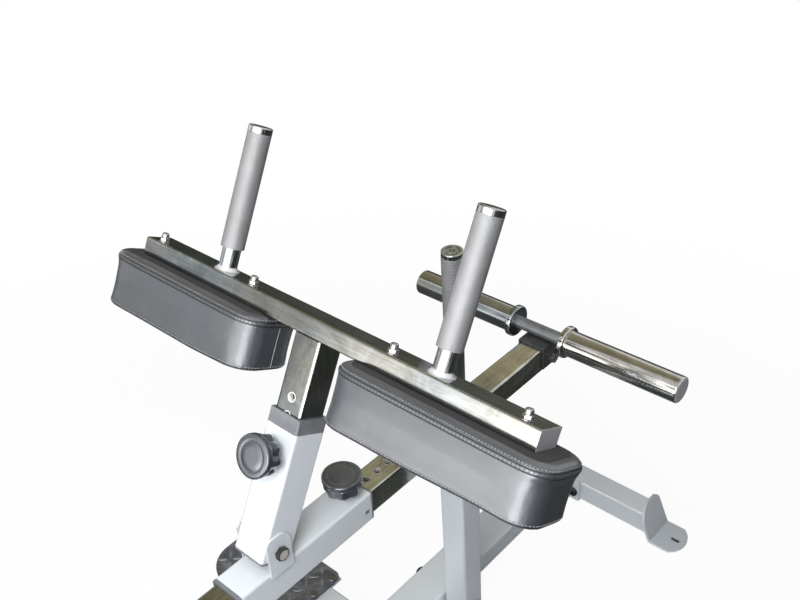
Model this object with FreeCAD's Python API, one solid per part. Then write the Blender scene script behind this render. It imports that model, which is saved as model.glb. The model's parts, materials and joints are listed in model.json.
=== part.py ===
"""Seated calf raise machine: a floor base with a seat, a pivoting weight lever with
adjustable thigh pads, and a hand-operated catch that holds the lever up."""
import FreeCAD, Part
import math
import os

Vector = FreeCAD.Vector

# Frame of the part: X to the right of the seated user, Y forwards, Z up, millimetres.
# The origin is on the floor under the middle of the whole machine.

# Shared values
cut_over = 1.0
running_gap = 0.3
pin_fit = 0.08
tube_wall = 3.0
tube_corner = 5.0
tube_sides = 4
hexagon_sides = 6

# Base: one beam along Y and a cross foot at each end
beam_width = 75.0
beam_height = 48.0
foot_size = 50.0
foot_length = 500.0
foot_slant = 25.0
foot_centre_y = 691.0
joint_plate_thick = 7.0
joint_plate_width = 156.0
foot_bolt_x = 63.0
foot_bolt_z = 22.0
foot_bolt_radius = 6.0
foot_bolt_head_radius = 11.0
foot_bolt_head_height = 6.0
foot_bolt_nut_flats = 19.0
foot_bolt_nut_height = 10.0

# Floor brackets on the ends of the cross feet
bracket_thick = 5.0
bracket_width = 74.0
bracket_reach = 62.0
bracket_rise = 76.0
bracket_shift = 5.0
bracket_near_radius = 46.0
bracket_far_radius = 16.0
bracket_bow = 20.0
slot_length = 20.0
slot_width = 9.0
slot_from_foot = 41.0

# Step: a cross tube on the beam with a steel foot plate at each side
step_tube_y = 64.5
step_tube_width = 75.0
step_tube_height = 48.0
step_tube_length = 600.0
step_tab_length = 40.0
step_tab_reach = 26.0
step_tab_thick = 4.0
foot_plate_thick = 4.0
foot_plate_inner_x = 109.0
foot_plate_overhang = 34.0
foot_plate_near_y = -23.0
foot_plate_depth = 154.0
foot_plate_big_radius = 62.0
foot_plate_radius = 15.0
plate_screw_inner_x = 118.0
plate_screw_margin = 20.0
plate_screw_near_y = 65.0
plate_screw_far_y = 113.0
plate_screw_radius = 4.0
plate_screw_head_radius = 7.5
plate_screw_head_height = 4.0
plate_screw_reach = 14.0
cap_thick = 3.0
cap_plug = 14.0

# Seat on its post
seat_post_size = 60.0
seat_post_y = -588.0
seat_plate_z = 458.0
seat_plate_thick = 5.0
seat_plate_width = 200.0
seat_plate_depth = 160.0
seat_board_thick = 15.0
seat_width = 330.0
seat_depth = 276.0
seat_corner = 60.0
seat_thick = 66.0
seat_y = -578.0
seat_board_inset = 12.0
seat_wrap = 10.0
seat_screw_x = 80.0
seat_screw_y = 60.0
seat_screw_radius = 4.0
seat_screw_head_radius = 8.0
seat_screw_head_height = 4.5

# Lever and its pivot in front of the seat post
lever_size = 50.0
lever_z = 406.0
pivot_y = -508.0
pivot_plate_thick = 6.0
pivot_plate_height = 60.0
pivot_bolt_radius = 8.0
pivot_bolt_flats = 24.0
pivot_bolt_head_height = 10.0
pivot_nut_height = 13.0
pivot_sleeve_radius = 15.0
pivot_sleeve_bore = 11.0
pivot_sleeve_proud = 2.5
pivot_flange_thick = 2.0
lever_near_overlap = 30.0
lever_end_y = 636.0
lever_hole_pitch = 26.0
lever_holes_each_way = 4
pin_hole_radius = 6.0

# Weight horns across the far end of the lever
horn_y = 601.0
horn_bracket_thick = 5.0
horn_side_thick = 4.0
horn_bracket_length = 62.0
horn_bracket_drop = 43.0
horn_bolt_z = 399.0
horn_bolt_radius = 5.0
horn_bolt_flats = 17.0
horn_bolt_head_height = 6.5
horn_bolt_nut_height = 8.0
shaft_radius = 12.0
sleeve_radius = 25.0
sleeve_wall = 3.0
sleeve_end_x = 290.0
sleeve_end_thick = 5.0
sleeve_end_round = 4.0
collar_radius = 31.0
collar_thick = 13.0
collar_x = 58.0
collar_round = 4.0

# Carriage that slides along the lever
carriage_size = 60.0
carriage_near_y = -179.0
carriage_far_y = 90.0
bush_near_flange = 5.5
bush_far_flange = 3.0
bush_liner = 24.0
bush_nub_y = 79.0
bush_nub_z = 402.0
bush_nub_length = 8.0
bush_nub_height = 6.0
bush_nub_proud = 0.6
carriage_pin_y = 60.0

# Ears and bolt that hold the leaning upright on the carriage
lean = 28.0
upright_bolt_y = -103.0
upright_bolt_rise = 32.0
upright_bolt_radius = 6.0
upright_bolt_flats = 19.0
upright_bolt_head_height = 8.0
upright_bolt_nut_height = 10.0
ear_thick = 3.0
ear_near_y = -125.0
ear_far_y = -80.0
ear_height = 66.0
ear_weld = 10.0
ear_near_radius = 10.0
ear_far_radius = 22.0

# Upright sleeve, measured along the lean from the upright bolt
upright_size = 60.0
upright_below = 15.7
upright_above = 185.3
upright_collar_height = 22.0
upright_collar_draft = 1.0
upright_liner = 30.0
upright_cap_plug = 6.0
height_pin_z = 147.3

# Locking pins with their housings and knobs
housing_radius = 12.0
housing_length = 16.0
pin_radius = 5.0
pin_tip_gap = 0.4
pin_in_knob = 18.0
knob_radius = 30.5
knob_cap_height = 11.0
knob_cap_round = 3.0
knob_skirt_height = 17.5
knob_core_radius = 25.0
knob_lobe_radius = 7.5
knob_lobe_circle = 21.5
knob_lobes = 8

# Pad post and crossbar, measured along the lean from the upright bolt
post_size = 50.0
post_bottom = 100.0
post_hole_pitch = 28.0
post_holes_below = 1
post_holes_above = 3
bar_top = 348.3
bar_length = 740.0
bar_depth = 50.0
bar_height = 28.0
bar_corner = 3.0

# Handles on the crossbar
handle_x = 206.0
handle_radius = 14.0
handle_wall = 3.0
handle_flare_radius = 18.0
handle_flare_height = 6.0
grip_radius = 18.0
grip_start = 35.0
grip_end = 207.0
handle_cap_height = 10.0
handle_cap_plug = 12.0
handle_cap_round = 2.5

# Thigh pads under the crossbar
pad_inner_x = 74.0
pad_overhang = 38.0
pad_depth = 115.0
pad_shift = -3.5
pad_thick = 84.0
pad_corner = 35.0
pad_board_thick = 12.0
pad_board_inset = 16.0
pad_bolt_inner_x = 134.0
pad_bolt_margin = 28.0
pad_bolt_y = -13.0
pad_bolt_radius = 4.0
pad_bolt_rise = 15.0
pad_nut_flats = 13.0
pad_nut_height = 6.5
pad_washer_radius = 8.5
pad_washer_thick = 1.6

# Cushion sections: share of the thickness from the board side, share of the draw-in
cushion_draw = 12.0
pad_section_shares = ((0.0, 0.75), (0.06, 0.25), (0.12, 0.0), (0.22, 0.12), (0.55, 0.1),
                      (0.86, 0.15), (0.94, 0.38), (0.98, 0.75), (1.0, 1.25))
seat_section_shares = ((0.0, 0.4), (0.1, 0.1), (0.35, 0.0), (0.62, 0.25), (0.84, 1.0),
                       (0.96, 2.6), (1.0, 4.4))

# Catch: a post beside the beam whose ledge holds the lever's peg
catch_pivot_y = 280.0
catch_pivot_z = 24.0
catch_lean = 1.5
catch_size = 50.0
catch_spacer_thick = 1.5
catch_spacer_radius = 15.0
catch_post_below = 12.0
catch_post_above = 496.0
catch_plate_thick = 4.0
catch_handle_radius = 14.0
catch_handle_top = 778.0
catch_grip_radius = 16.8
catch_grip_length = 152.0
catch_cap_radius = 16.5
catch_cap_height = 8.0
catch_cap_recess_radius = 12.0
catch_cap_recess = 3.0
catch_socket_flats = 8.0
catch_socket_depth = 3.0
catch_bolt_radius = 6.0
catch_bolt_head_radius = 14.0
catch_bolt_head_height = 7.0
catch_bolt_nut_flats = 19.0
catch_bolt_nut_height = 10.0
peg_y = 272.0
peg_radius = 8.0
peg_gap = 0.8
ledge_gap = 0.4
ledge_side_gap = 1.3
ledge_before = 8.0
ledge_after = 12.0
ledge_height = 30.0

# Places worked out from the values above
beam_end_y = foot_centre_y - foot_size / 2 - joint_plate_thick
step_top_z = beam_height + step_tube_height
plate_screw_outer_x = step_tube_length / 2 - plate_screw_margin
lever_side = lever_size / 2
lever_top_z = lever_z + lever_side
carriage_half = carriage_size / 2
carriage_top_z = lever_z + carriage_half
upright_bolt_z = carriage_top_z + upright_bolt_rise
upright_half = upright_size / 2
bar_bottom = bar_top - bar_height
horn_z = lever_top_z + horn_bracket_thick + shaft_radius
catch_inner_x = beam_width / 2 + catch_spacer_thick
catch_centre_x = catch_inner_x + catch_size / 2
catch_outer_x = catch_inner_x + catch_size
knob_height = knob_cap_height + knob_skirt_height
seat_board_z = seat_plate_z + seat_plate_thick
pad_outer_x = bar_length / 2 + pad_overhang
pad_bolt_outer_x = bar_length / 2 - pad_bolt_margin


def block(x0, x1, y0, y1, z0, z1):
    """A box between two corners."""
    return Part.makeBox(x1 - x0, y1 - y0, z1 - z0, Vector(x0, y0, z0))


def rod(radius, start, end):
    """A round bar from one point to another."""
    run = end.sub(start)
    return Part.makeCylinder(radius, run.Length, start, run)


def ring(outer, inner, start, end):
    """A round bar with a hole through it."""
    return rod(outer, start, end).cut(rod(inner, start, end))


def rounded_polygon(points, radii):
    """A closed wire in XY with each corner rounded by its own radius."""
    edges = []
    count = len(points)
    touches = []
    for index in range(count):
        corner = Vector(points[index][0], points[index][1], 0)
        before = Vector(points[index - 1][0], points[index - 1][1], 0)
        after = Vector(points[(index + 1) % count][0], points[(index + 1) % count][1], 0)
        to_before = before.sub(corner).normalize()
        to_after = after.sub(corner).normalize()
        half_angle = to_before.getAngle(to_after) / 2
        reach = radii[index] / math.tan(half_angle)
        middle = to_before.add(to_after).normalize()
        depth = radii[index] / math.sin(half_angle) - radii[index]
        touches.append((corner.add(to_before.multiply(reach)),
                        corner.add(middle.multiply(depth)),
                        corner.add(to_after.multiply(reach))))
    for index in range(count):
        first, middle, last = touches[index]
        if radii[index] > 0:
            edges.append(Part.Arc(first, middle, last).toShape())
        following = touches[(index + 1) % count][0]
        if last.distanceToPoint(following) > pin_fit / 2:
            edges.append(Part.LineSegment(last, following).toShape())
    return Part.Wire(edges)


def rounded_rectangle(width, depth, radius):
    """A wire in XY about the origin."""
    x = width / 2
    y = depth / 2
    return rounded_polygon([(-x, -y), (x, -y), (x, y), (-x, y)], [radius] * 4)


def plate(wire, z0, z1):
    """A flat plate from a wire in XY."""
    outline = wire.copy()
    outline.translate(Vector(0, 0, z0))
    return Part.Face(outline).extrude(Vector(0, 0, z1 - z0))


def square_tube(width, depth, wall, corner, z0, z1):
    """A hollow tube along Z with rounded corners."""
    outer = plate(rounded_rectangle(width, depth, corner), z0, z1)
    inner_corner = max(corner - wall, wall / 4)
    inner = rounded_rectangle(width - 2 * wall, depth - 2 * wall, inner_corner)
    return outer.cut(plate(inner, z0 - cut_over, z1 + cut_over))


def tube_cap(width, depth, corner, plug):
    """An end cap for a tube that ends at Z 0 below it: a lid with a plug under it."""
    lid = plate(rounded_rectangle(width, depth, corner), 0, cap_thick)
    inside = 2 * (tube_wall + pin_fit)
    corner_inside = max(corner - tube_wall, tube_wall / 4)
    inner = rounded_rectangle(width - inside, depth - inside, corner_inside)
    return lid.fuse(plate(inner, -plug, 0)).removeSplitter()


def hexagon(flats, z0, z1):
    """A hexagonal prism along Z."""
    radius = flats / math.sqrt(3)
    corners = []
    for index in range(hexagon_sides + 1):
        angle = 2 * math.pi * index / hexagon_sides
        corners.append(Vector(radius * math.cos(angle), radius * math.sin(angle), z0))
    return Part.Face(Part.makePolygon(corners)).extrude(Vector(0, 0, z1 - z0))


def aim_y(shape):
    """Turn a shape built along Z so that it runs along Y."""
    turned = shape.copy()
    turned.rotate(Vector(), Vector(1, 0, 0), -90)
    return turned


def aim_x(shape):
    """Turn a shape built along Z so that it runs along X."""
    turned = shape.copy()
    turned.rotate(Vector(), Vector(0, 1, 0), 90)
    return turned


def moved(shape, x, y, z):
    """A copy of a shape at another place."""
    copy = shape.copy()
    copy.translate(Vector(x, y, z))
    return copy


def mirrored(shape):
    """The same shape on the other side of the YZ plane."""
    return shape.mirror(Vector(), Vector(1, 0, 0))


def group(solids):
    """Separate solids kept together in one node."""
    return Part.makeCompound(solids)


def on_upright(shape):
    """From the leaning frame with its origin at the upright bolt to the machine frame."""
    placed = shape.copy()
    placed.rotate(Vector(), Vector(1, 0, 0), -lean)
    placed.translate(Vector(0, upright_bolt_y, upright_bolt_z))
    return placed


def on_catch(shape):
    """From the catch's frame with its origin at its pivot to the machine frame."""
    placed = shape.copy()
    placed.rotate(Vector(), Vector(1, 0, 0), catch_lean)
    placed.translate(Vector(0, catch_pivot_y, catch_pivot_z))
    return placed


def through_bolt(radius, head, head_height, grip, nut_flats, nut_height):
    """A bolt along Z: its head is under Z 0 and its nut is above the grip length."""
    shank = rod(radius, Vector(), Vector(0, 0, grip + nut_height + radius / 2))
    nut = hexagon(nut_flats, grip, grip + nut_height)
    nut = nut.cut(rod(radius, Vector(0, 0, grip - cut_over), Vector(0, 0, grip + nut_height + cut_over)))
    return [shank.fuse(head).removeSplitter(), nut]


def round_head(radius, height):
    """A low domed bolt head from Z -height to 0."""
    head = rod(radius, Vector(0, 0, -height), Vector())
    rim = [edge for edge in head.Edges if abs(edge.CenterOfMass.z + height) < pin_fit]
    return head.makeFillet(height / 2, rim)


def base_beam():
    """The beam along the floor, with the hole for the catch's pivot bolt."""
    beam = aim_y(square_tube(beam_width, beam_height, tube_wall, tube_corner, -beam_end_y, beam_end_y))
    beam = moved(beam, 0, 0, beam_height / 2)
    side = beam_width / 2 + cut_over
    return beam.cut(rod(catch_bolt_radius, Vector(-side, catch_pivot_y, catch_pivot_z),
                        Vector(side, catch_pivot_y, catch_pivot_z)))


def foot_bolt_holes(y0, y1):
    """Drills for the two bolts of one cross foot."""
    return group([rod(foot_bolt_radius, Vector(x, y0, foot_bolt_z), Vector(x, y1, foot_bolt_z))
                  for x in (-foot_bolt_x, foot_bolt_x)])


def joint_plate(side):
    """The plate welded to one end of the beam."""
    inner = beam_end_y
    outer = inner + joint_plate_thick
    half = joint_plate_width / 2
    y0, y1 = sorted((side * inner, side * outer))
    solid = block(-half, half, y0, y1, 0, foot_size)
    return solid.cut(foot_bolt_holes(y0 - cut_over, y1 + cut_over))


def slant_back(height):
    """How far a leaning end has moved inwards at a height."""
    return height * math.tan(math.radians(foot_slant))


def cross_foot(side):
    """A tube across one end of the base, with both ends cut at a slant."""
    half = foot_length / 2
    centre_y = side * foot_centre_y
    tube = aim_x(square_tube(foot_size, foot_size, tube_wall, tube_corner, -half, half))
    tube = moved(tube, 0, centre_y, foot_size / 2)
    y0 = centre_y - foot_size
    for edge in (-1, 1):
        corners = [Vector(edge * (half + slant_back(cut_over)), y0, -cut_over),
                   Vector(edge * (half + foot_size), y0, -cut_over),
                   Vector(edge * (half + foot_size), y0, foot_size + cut_over),
                   Vector(edge * (half - slant_back(foot_size + cut_over)), y0, foot_size + cut_over)]
        wedge = Part.Face(Part.makePolygon(corners + corners[:1])).extrude(Vector(0, 2 * foot_size, 0))
        tube = tube.cut(wedge)
    return tube.cut(foot_bolt_holes(centre_y - foot_size, centre_y + foot_size))


def floor_bracket():
    """The right front bracket: a floor flange with a slot and a leaning flange."""
    start_x = foot_length / 2
    near_y = foot_centre_y - bracket_shift - bracket_width / 2
    far_y = near_y + bracket_width
    end_x = start_x + bracket_reach
    lean_thick = bracket_thick / math.cos(math.radians(foot_slant))
    outline = [Vector(start_x, near_y, 0), Vector(end_x - bracket_bow, near_y, 0),
               Vector(end_x - bracket_bow, far_y, 0), Vector(start_x, far_y, 0)]
    edges = [Part.LineSegment(outline[0], outline[1]).toShape(),
             Part.Arc(outline[1], Vector(end_x, (near_y + far_y) / 2, 0), outline[2]).toShape(),
             Part.LineSegment(outline[2], outline[3]).toShape(),
             Part.LineSegment(outline[3], outline[0]).toShape()]
    flange = Part.Face(Part.Wire(edges)).extrude(Vector(0, 0, bracket_thick))
    slant_cut = [Vector(start_x - lean_thick, near_y - cut_over, 0), Vector(start_x, near_y - cut_over, 0),
                 Vector(start_x - slant_back(bracket_rise), near_y - cut_over, bracket_rise),
                 Vector(start_x - bracket_rise, near_y - cut_over, bracket_rise)]
    flange = flange.cut(Part.Face(Part.makePolygon(slant_cut + slant_cut[:1])).extrude(
        Vector(0, bracket_width + 2 * cut_over, 0)))
    wire = rounded_polygon([(0, 0), (bracket_width, 0), (bracket_width, bracket_rise), (0, bracket_rise)],
                           [0, 0, bracket_far_radius, bracket_near_radius])
    leaning = plate(wire, 0, bracket_thick)
    leaning.rotate(Vector(), Vector(0, 0, 1), 90)
    leaning.rotate(Vector(), Vector(0, 1, 0), 90 - foot_slant)
    leaning.translate(Vector(start_x, near_y, 0))
    leaning = leaning.common(block(0, end_x, near_y - cut_over, far_y + cut_over, 0, 2 * bracket_rise))
    straight = (slot_length - slot_width) / 2
    slot_x = start_x + slot_from_foot
    slot_y = foot_centre_y - bracket_shift
    slot = block(slot_x - straight, slot_x + straight, slot_y - slot_width / 2, slot_y + slot_width / 2,
                 -cut_over, bracket_thick + cut_over)
    for x in (slot_x - straight, slot_x + straight):
        end = rod(slot_width / 2, Vector(x, slot_y, -cut_over), Vector(x, slot_y, bracket_thick + cut_over))
        slot = slot.fuse(end)
    return flange.fuse(leaning).removeSplitter().cut(slot.removeSplitter())


def foot_bolts():
    """Round-headed bolts that join the beam's end plates to the cross feet."""
    grip = joint_plate_thick + foot_size
    pieces = through_bolt(foot_bolt_radius, round_head(foot_bolt_head_radius, foot_bolt_head_height),
                          foot_bolt_head_height, grip, foot_bolt_nut_flats, foot_bolt_nut_height)
    solids = []
    for x in (-foot_bolt_x, foot_bolt_x):
        for piece in pieces:
            front = moved(aim_y(piece), x, beam_end_y, foot_bolt_z)
            solids.append(front)
            solids.append(front.mirror(Vector(), Vector(0, 1, 0)))
    return group(solids)


def step_tube():
    """The cross tube on the beam, with a welded tab under each foot plate."""
    half = step_tube_length / 2
    tube = aim_x(square_tube(step_tube_height, step_tube_width, tube_wall, tube_corner, -half, half))
    tube = moved(tube, 0, step_tube_y, beam_height + step_tube_height / 2)
    far_y = step_tube_y + step_tube_width / 2
    for side in (-1, 1):
        x0, x1 = sorted((side * foot_plate_inner_x, side * (foot_plate_inner_x + step_tab_length)))
        tube = tube.fuse(block(x0, x1, far_y - tube_corner - tube_wall / 2, far_y + step_tab_reach,
                               step_top_z - step_tab_thick - tube_wall / 2, step_top_z))
        drill_start = step_top_z - plate_screw_reach - cut_over
        tube = tube.cut(plate_screw_drills(side, drill_start, step_top_z + cut_over))
    return tube.removeSplitter()


def plate_screw_places(side):
    """Where the three screws of one foot plate stand."""
    return [(side * plate_screw_inner_x, plate_screw_near_y),
            (side * plate_screw_inner_x, plate_screw_far_y),
            (side * plate_screw_outer_x, plate_screw_near_y)]


def plate_screw_drills(side, z0, z1):
    """Drills for the screws of one foot plate."""
    return group([rod(plate_screw_radius, Vector(x, y, z0), Vector(x, y, z1))
                  for x, y in plate_screw_places(side)])


def step_tube_caps():
    """Plastic end caps of the step tube."""
    cap = aim_x(tube_cap(step_tube_height, step_tube_width, tube_corner, cap_plug))
    right = moved(cap, step_tube_length / 2, step_tube_y, beam_height + step_tube_height / 2)
    return group([right, mirrored(right)])


def foot_plate(side):
    """A steel plate for one foot, with one large rounded corner."""
    x0 = foot_plate_inner_x
    x1 = step_tube_length / 2 + foot_plate_overhang
    y0 = foot_plate_near_y
    y1 = y0 + foot_plate_depth
    small = foot_plate_radius
    top = step_top_z + foot_plate_thick
    wire = rounded_polygon([(x0, y0), (x1, y0), (x1, y1), (x0, y1)],
                           [small, foot_plate_big_radius, small, small])
    solid = plate(wire, step_top_z, top)
    if side < 0:
        solid = mirrored(solid)
    return solid.cut(plate_screw_drills(side, step_top_z - cut_over, top + cut_over))


def foot_plate_screws():
    """Screws that hold the foot plates to the step tube and its tabs."""
    top = step_top_z + foot_plate_thick
    head = round_head(plate_screw_head_radius, plate_screw_head_height)
    head.rotate(Vector(), Vector(1, 0, 0), 180)
    shank = rod(plate_screw_radius, Vector(0, 0, -foot_plate_thick - plate_screw_reach), Vector())
    screw = head.fuse(shank).removeSplitter()
    solids = []
    for side in (-1, 1):
        for x, y in plate_screw_places(side):
            solids.append(moved(screw, x, y, top))
    return group(solids)


def seat_post():
    """The post that carries the seat."""
    tube = square_tube(seat_post_size, seat_post_size, tube_wall, tube_corner, beam_height, seat_plate_z)
    return moved(tube, 0, seat_post_y, 0)


def seat_screw_places():
    """Where the four seat screws stand."""
    return [(x, seat_y + y) for x in (-seat_screw_x, seat_screw_x) for y in (-seat_screw_y, seat_screw_y)]


def seat_screw_drills(z0, z1):
    """Drills for the seat screws."""
    return group([rod(seat_screw_radius, Vector(x, y, z0), Vector(x, y, z1))
                  for x, y in seat_screw_places()])


def seat_plate():
    """The steel plate on top of the seat post."""
    outline = rounded_rectangle(seat_plate_width, seat_plate_depth, foot_plate_radius)
    solid = plate(outline, 0, seat_plate_thick)
    solid = moved(solid, 0, seat_y, seat_plate_z)
    return solid.cut(seat_screw_drills(seat_plate_z - cut_over, seat_board_z + cut_over))


def board_outline(width, depth, corner, inset):
    """The outline of a board inside its cushion."""
    return rounded_rectangle(width - 2 * inset, depth - 2 * inset, corner - inset)


def seat_board():
    """The plywood board under the seat cushion."""
    solid = plate(board_outline(seat_width, seat_depth, seat_corner, seat_board_inset), 0, seat_board_thick)
    solid = moved(solid, 0, seat_y, seat_board_z)
    return solid.cut(seat_screw_drills(seat_board_z - cut_over, seat_board_z + seat_wrap))


def cushion(width, depth, corner, thick, sections, straight):
    """A soft block over Z 0: crowned away from Z 0, with sides that are drawn in."""
    wires = []
    for height_share, draw_share in sections:
        inset = cushion_draw * draw_share
        wire = rounded_rectangle(width - 2 * inset, depth - 2 * inset, corner - inset)
        wire.translate(Vector(0, 0, thick * height_share))
        wires.append(wire)
    return Part.makeLoft(wires, True, straight)


def seat_cushion():
    """The seat cushion, wrapped around its board."""
    solid = cushion(seat_width, seat_depth, seat_corner, seat_thick, seat_section_shares, False)
    base_z = seat_board_z + seat_board_thick - seat_wrap
    solid = moved(solid, 0, seat_y, base_z)
    pocket = plate(board_outline(seat_width, seat_depth, seat_corner, seat_board_inset - running_gap),
                   -cut_over, seat_wrap + running_gap)
    return solid.cut(moved(pocket, 0, seat_y, base_z))


def seat_screws():
    """Screws from under the seat plate into the board."""
    screw = round_head(seat_screw_head_radius, seat_screw_head_height)
    shank = rod(seat_screw_radius, Vector(), Vector(0, 0, seat_plate_thick + seat_wrap))
    screw = screw.fuse(shank).removeSplitter()
    return group([moved(screw, x, y, seat_plate_z) for x, y in seat_screw_places()])


def pivot_plates():
    """The two plates on the seat post that carry the lever's pivot bolt."""
    half = pivot_plate_height / 2
    near_y = seat_post_y - seat_post_size / 2
    far_y = pivot_y + half
    wire = rounded_polygon([(near_y, -half), (far_y, -half), (far_y, half), (near_y, half)],
                           [tube_corner, half - pin_fit, half - pin_fit, tube_corner])
    solid = plate(wire, 0, pivot_plate_thick)
    solid = solid.cut(rod(pivot_bolt_radius, Vector(pivot_y, 0, -cut_over),
                          Vector(pivot_y, 0, pivot_plate_thick + cut_over)))
    solid.rotate(Vector(), Vector(0, 0, 1), 90)
    solid.rotate(Vector(), Vector(0, 1, 0), 90)
    right = moved(solid, seat_post_size / 2, 0, lever_z)
    return group([right, mirrored(right)])


def pivot_bolt():
    """The lever's pivot bolt with its nut."""
    outer = seat_post_size / 2 + pivot_plate_thick
    head = hexagon(pivot_bolt_flats, -pivot_bolt_head_height, 0)
    pieces = through_bolt(pivot_bolt_radius, head, pivot_bolt_head_height, 2 * outer,
                          pivot_bolt_flats, pivot_nut_height)
    return group([moved(aim_x(piece), -outer, pivot_y, lever_z) for piece in pieces])


def lever_tube():
    """The chromed lever, with its row of adjustment holes in the top face."""
    near_y = pivot_y - lever_near_overlap
    tube = aim_y(square_tube(lever_size, lever_size, tube_wall, tube_corner, near_y, lever_end_y))
    tube = moved(tube, 0, 0, lever_z)
    side = lever_side + cut_over
    drills = [rod(pivot_sleeve_radius, Vector(-side, pivot_y, lever_z), Vector(side, pivot_y, lever_z)),
              rod(horn_bolt_radius, Vector(-side, horn_y, horn_bolt_z), Vector(side, horn_y, horn_bolt_z))]
    for step in range(-lever_holes_each_way, lever_holes_each_way + 1):
        y = carriage_pin_y + step * lever_hole_pitch
        drills.append(rod(pin_hole_radius, Vector(0, y, lever_z), Vector(0, y, lever_top_z + cut_over)))
    return tube.cut(group(drills))


def pivot_sleeve():
    """The bearing tube welded through the lever."""
    half = lever_side + pivot_sleeve_proud
    start = Vector(-half, pivot_y, lever_z)
    end = Vector(half, pivot_y, lever_z)
    return ring(pivot_sleeve_radius, pivot_sleeve_bore, start, end)


def pivot_bushes():
    """Flanged plastic bushes between the bearing tube and the pivot bolt."""
    half = lever_side + pivot_sleeve_proud
    depth = half - pin_hole_radius
    bore = pivot_bolt_radius + pin_fit
    body = rod(pivot_sleeve_bore, Vector(), Vector(0, 0, depth))
    flange = rod(pivot_sleeve_radius, Vector(0, 0, -pivot_flange_thick), Vector())
    bore_cut = rod(bore, Vector(0, 0, -pivot_flange_thick - cut_over), Vector(0, 0, depth + cut_over))
    solid = flange.fuse(body).cut(bore_cut).removeSplitter()
    left = moved(aim_x(solid), -half, pivot_y, lever_z)
    return group([left, mirrored(left)])


def lever_end_caps():
    """Plastic caps in both ends of the lever."""
    cap = aim_y(tube_cap(lever_size, lever_size, tube_corner, cap_plug))
    far = moved(cap, 0, lever_end_y, lever_z)
    near = cap.mirror(Vector(), Vector(0, 1, 0))
    near = moved(near, 0, pivot_y - lever_near_overlap, lever_z)
    return group([far, near])


def horn_bracket():
    """The bent bracket over the lever's far end that the weight shaft is welded to."""
    y0 = horn_y - horn_bracket_length / 2
    y1 = horn_y + horn_bracket_length / 2
    half = lever_side + horn_side_thick
    top_z = lever_top_z + horn_bracket_thick
    low_z = lever_top_z - horn_bracket_drop
    outer = block(-half, half, y0, y1, low_z, top_z)
    bends = [edge for edge in outer.Edges
             if edge.CenterOfMass.z > top_z - pin_fit and abs(edge.CenterOfMass.x) > lever_side]
    outer = outer.makeFillet(tube_wall, bends)
    inner = block(-lever_side, lever_side, y0 - cut_over, y1 + cut_over, low_z - cut_over, lever_top_z)
    solid = outer.cut(inner)
    side = half + cut_over
    return solid.cut(rod(horn_bolt_radius, Vector(-side, horn_y, horn_bolt_z),
                         Vector(side, horn_y, horn_bolt_z)))


def horn_bolt():
    """The bolt through the horn bracket and the lever, with its nut."""
    half = lever_side + horn_side_thick
    head = hexagon(horn_bolt_flats, -horn_bolt_head_height, 0)
    pieces = through_bolt(horn_bolt_radius, head, horn_bolt_head_height, 2 * half,
                          horn_bolt_flats, horn_bolt_nut_height)
    return group([mirrored(moved(aim_x(piece), -half, horn_y, horn_bolt_z)) for piece in pieces])


def weight_shaft():
    """The round bar through both horns."""
    half = sleeve_end_x - sleeve_end_thick
    return rod(shaft_radius, Vector(-half, horn_y, horn_z), Vector(half, horn_y, horn_z))


def rounded_ends(shape, radius, z_values):
    """Round the outer edges of a turned piece at some heights."""
    picked = []
    outer = max(edge.BoundBox.XMax for edge in shape.Edges)
    for edge in shape.Edges:
        box = edge.BoundBox
        at_height = any(abs(box.ZMin - z) < pin_fit and abs(box.ZMax - z) < pin_fit for z in z_values)
        if at_height and box.XMax > outer - pin_fit:
            picked.append(edge)
    return shape.makeFillet(radius, picked)


def weight_collars():
    """The round stops between the lever and the weights."""
    collar = rod(collar_radius, Vector(), Vector(0, 0, collar_thick))
    collar = rounded_ends(collar, collar_round, (0, collar_thick))
    collar = collar.cut(rod(shaft_radius, Vector(0, 0, -cut_over), Vector(0, 0, collar_thick + cut_over)))
    right = moved(aim_x(collar), collar_x - collar_thick / 2, horn_y, horn_z)
    return group([right, mirrored(right)])


def weight_sleeve(side):
    """A chromed sleeve for weight discs, closed at its outer end."""
    start = collar_x + collar_thick / 2
    length = sleeve_end_x - start
    body = rounded_ends(rod(sleeve_radius, Vector(), Vector(0, 0, length)), sleeve_end_round, (length,))
    body = body.cut(rod(sleeve_radius - sleeve_wall, Vector(0, 0, -cut_over),
                        Vector(0, 0, length - sleeve_end_thick)))
    right = moved(aim_x(body), start, horn_y, horn_z)
    if side < 0:
        return mirrored(right)
    return right


def lever_rest_peg():
    """The peg on the lever's side that rests on the catch."""
    return rod(peg_radius, Vector(lever_side, peg_y, lever_z),
               Vector(catch_inner_x - peg_gap, peg_y, lever_z))


def carriage_sleeve():
    """The painted tube that slides along the lever."""
    tube = square_tube(carriage_size, carriage_size, tube_wall, tube_corner, carriage_near_y, carriage_far_y)
    tube = moved(aim_y(tube), 0, 0, lever_z)
    pin_drill = rod(pin_radius + running_gap, Vector(0, carriage_pin_y, lever_z),
                    Vector(0, carriage_pin_y, carriage_top_z + cut_over))
    return tube.cut(pin_drill).cut(bush_nub(carriage_half + cut_over))


def bush_nub(reach):
    """The nub that keeps a bush in its sleeve, out to a distance from the middle on both sides."""
    return block(-reach, reach, bush_nub_y - bush_nub_length / 2, bush_nub_y + bush_nub_length / 2,
                 bush_nub_z - bush_nub_height / 2, bush_nub_z + bush_nub_height / 2)


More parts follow.
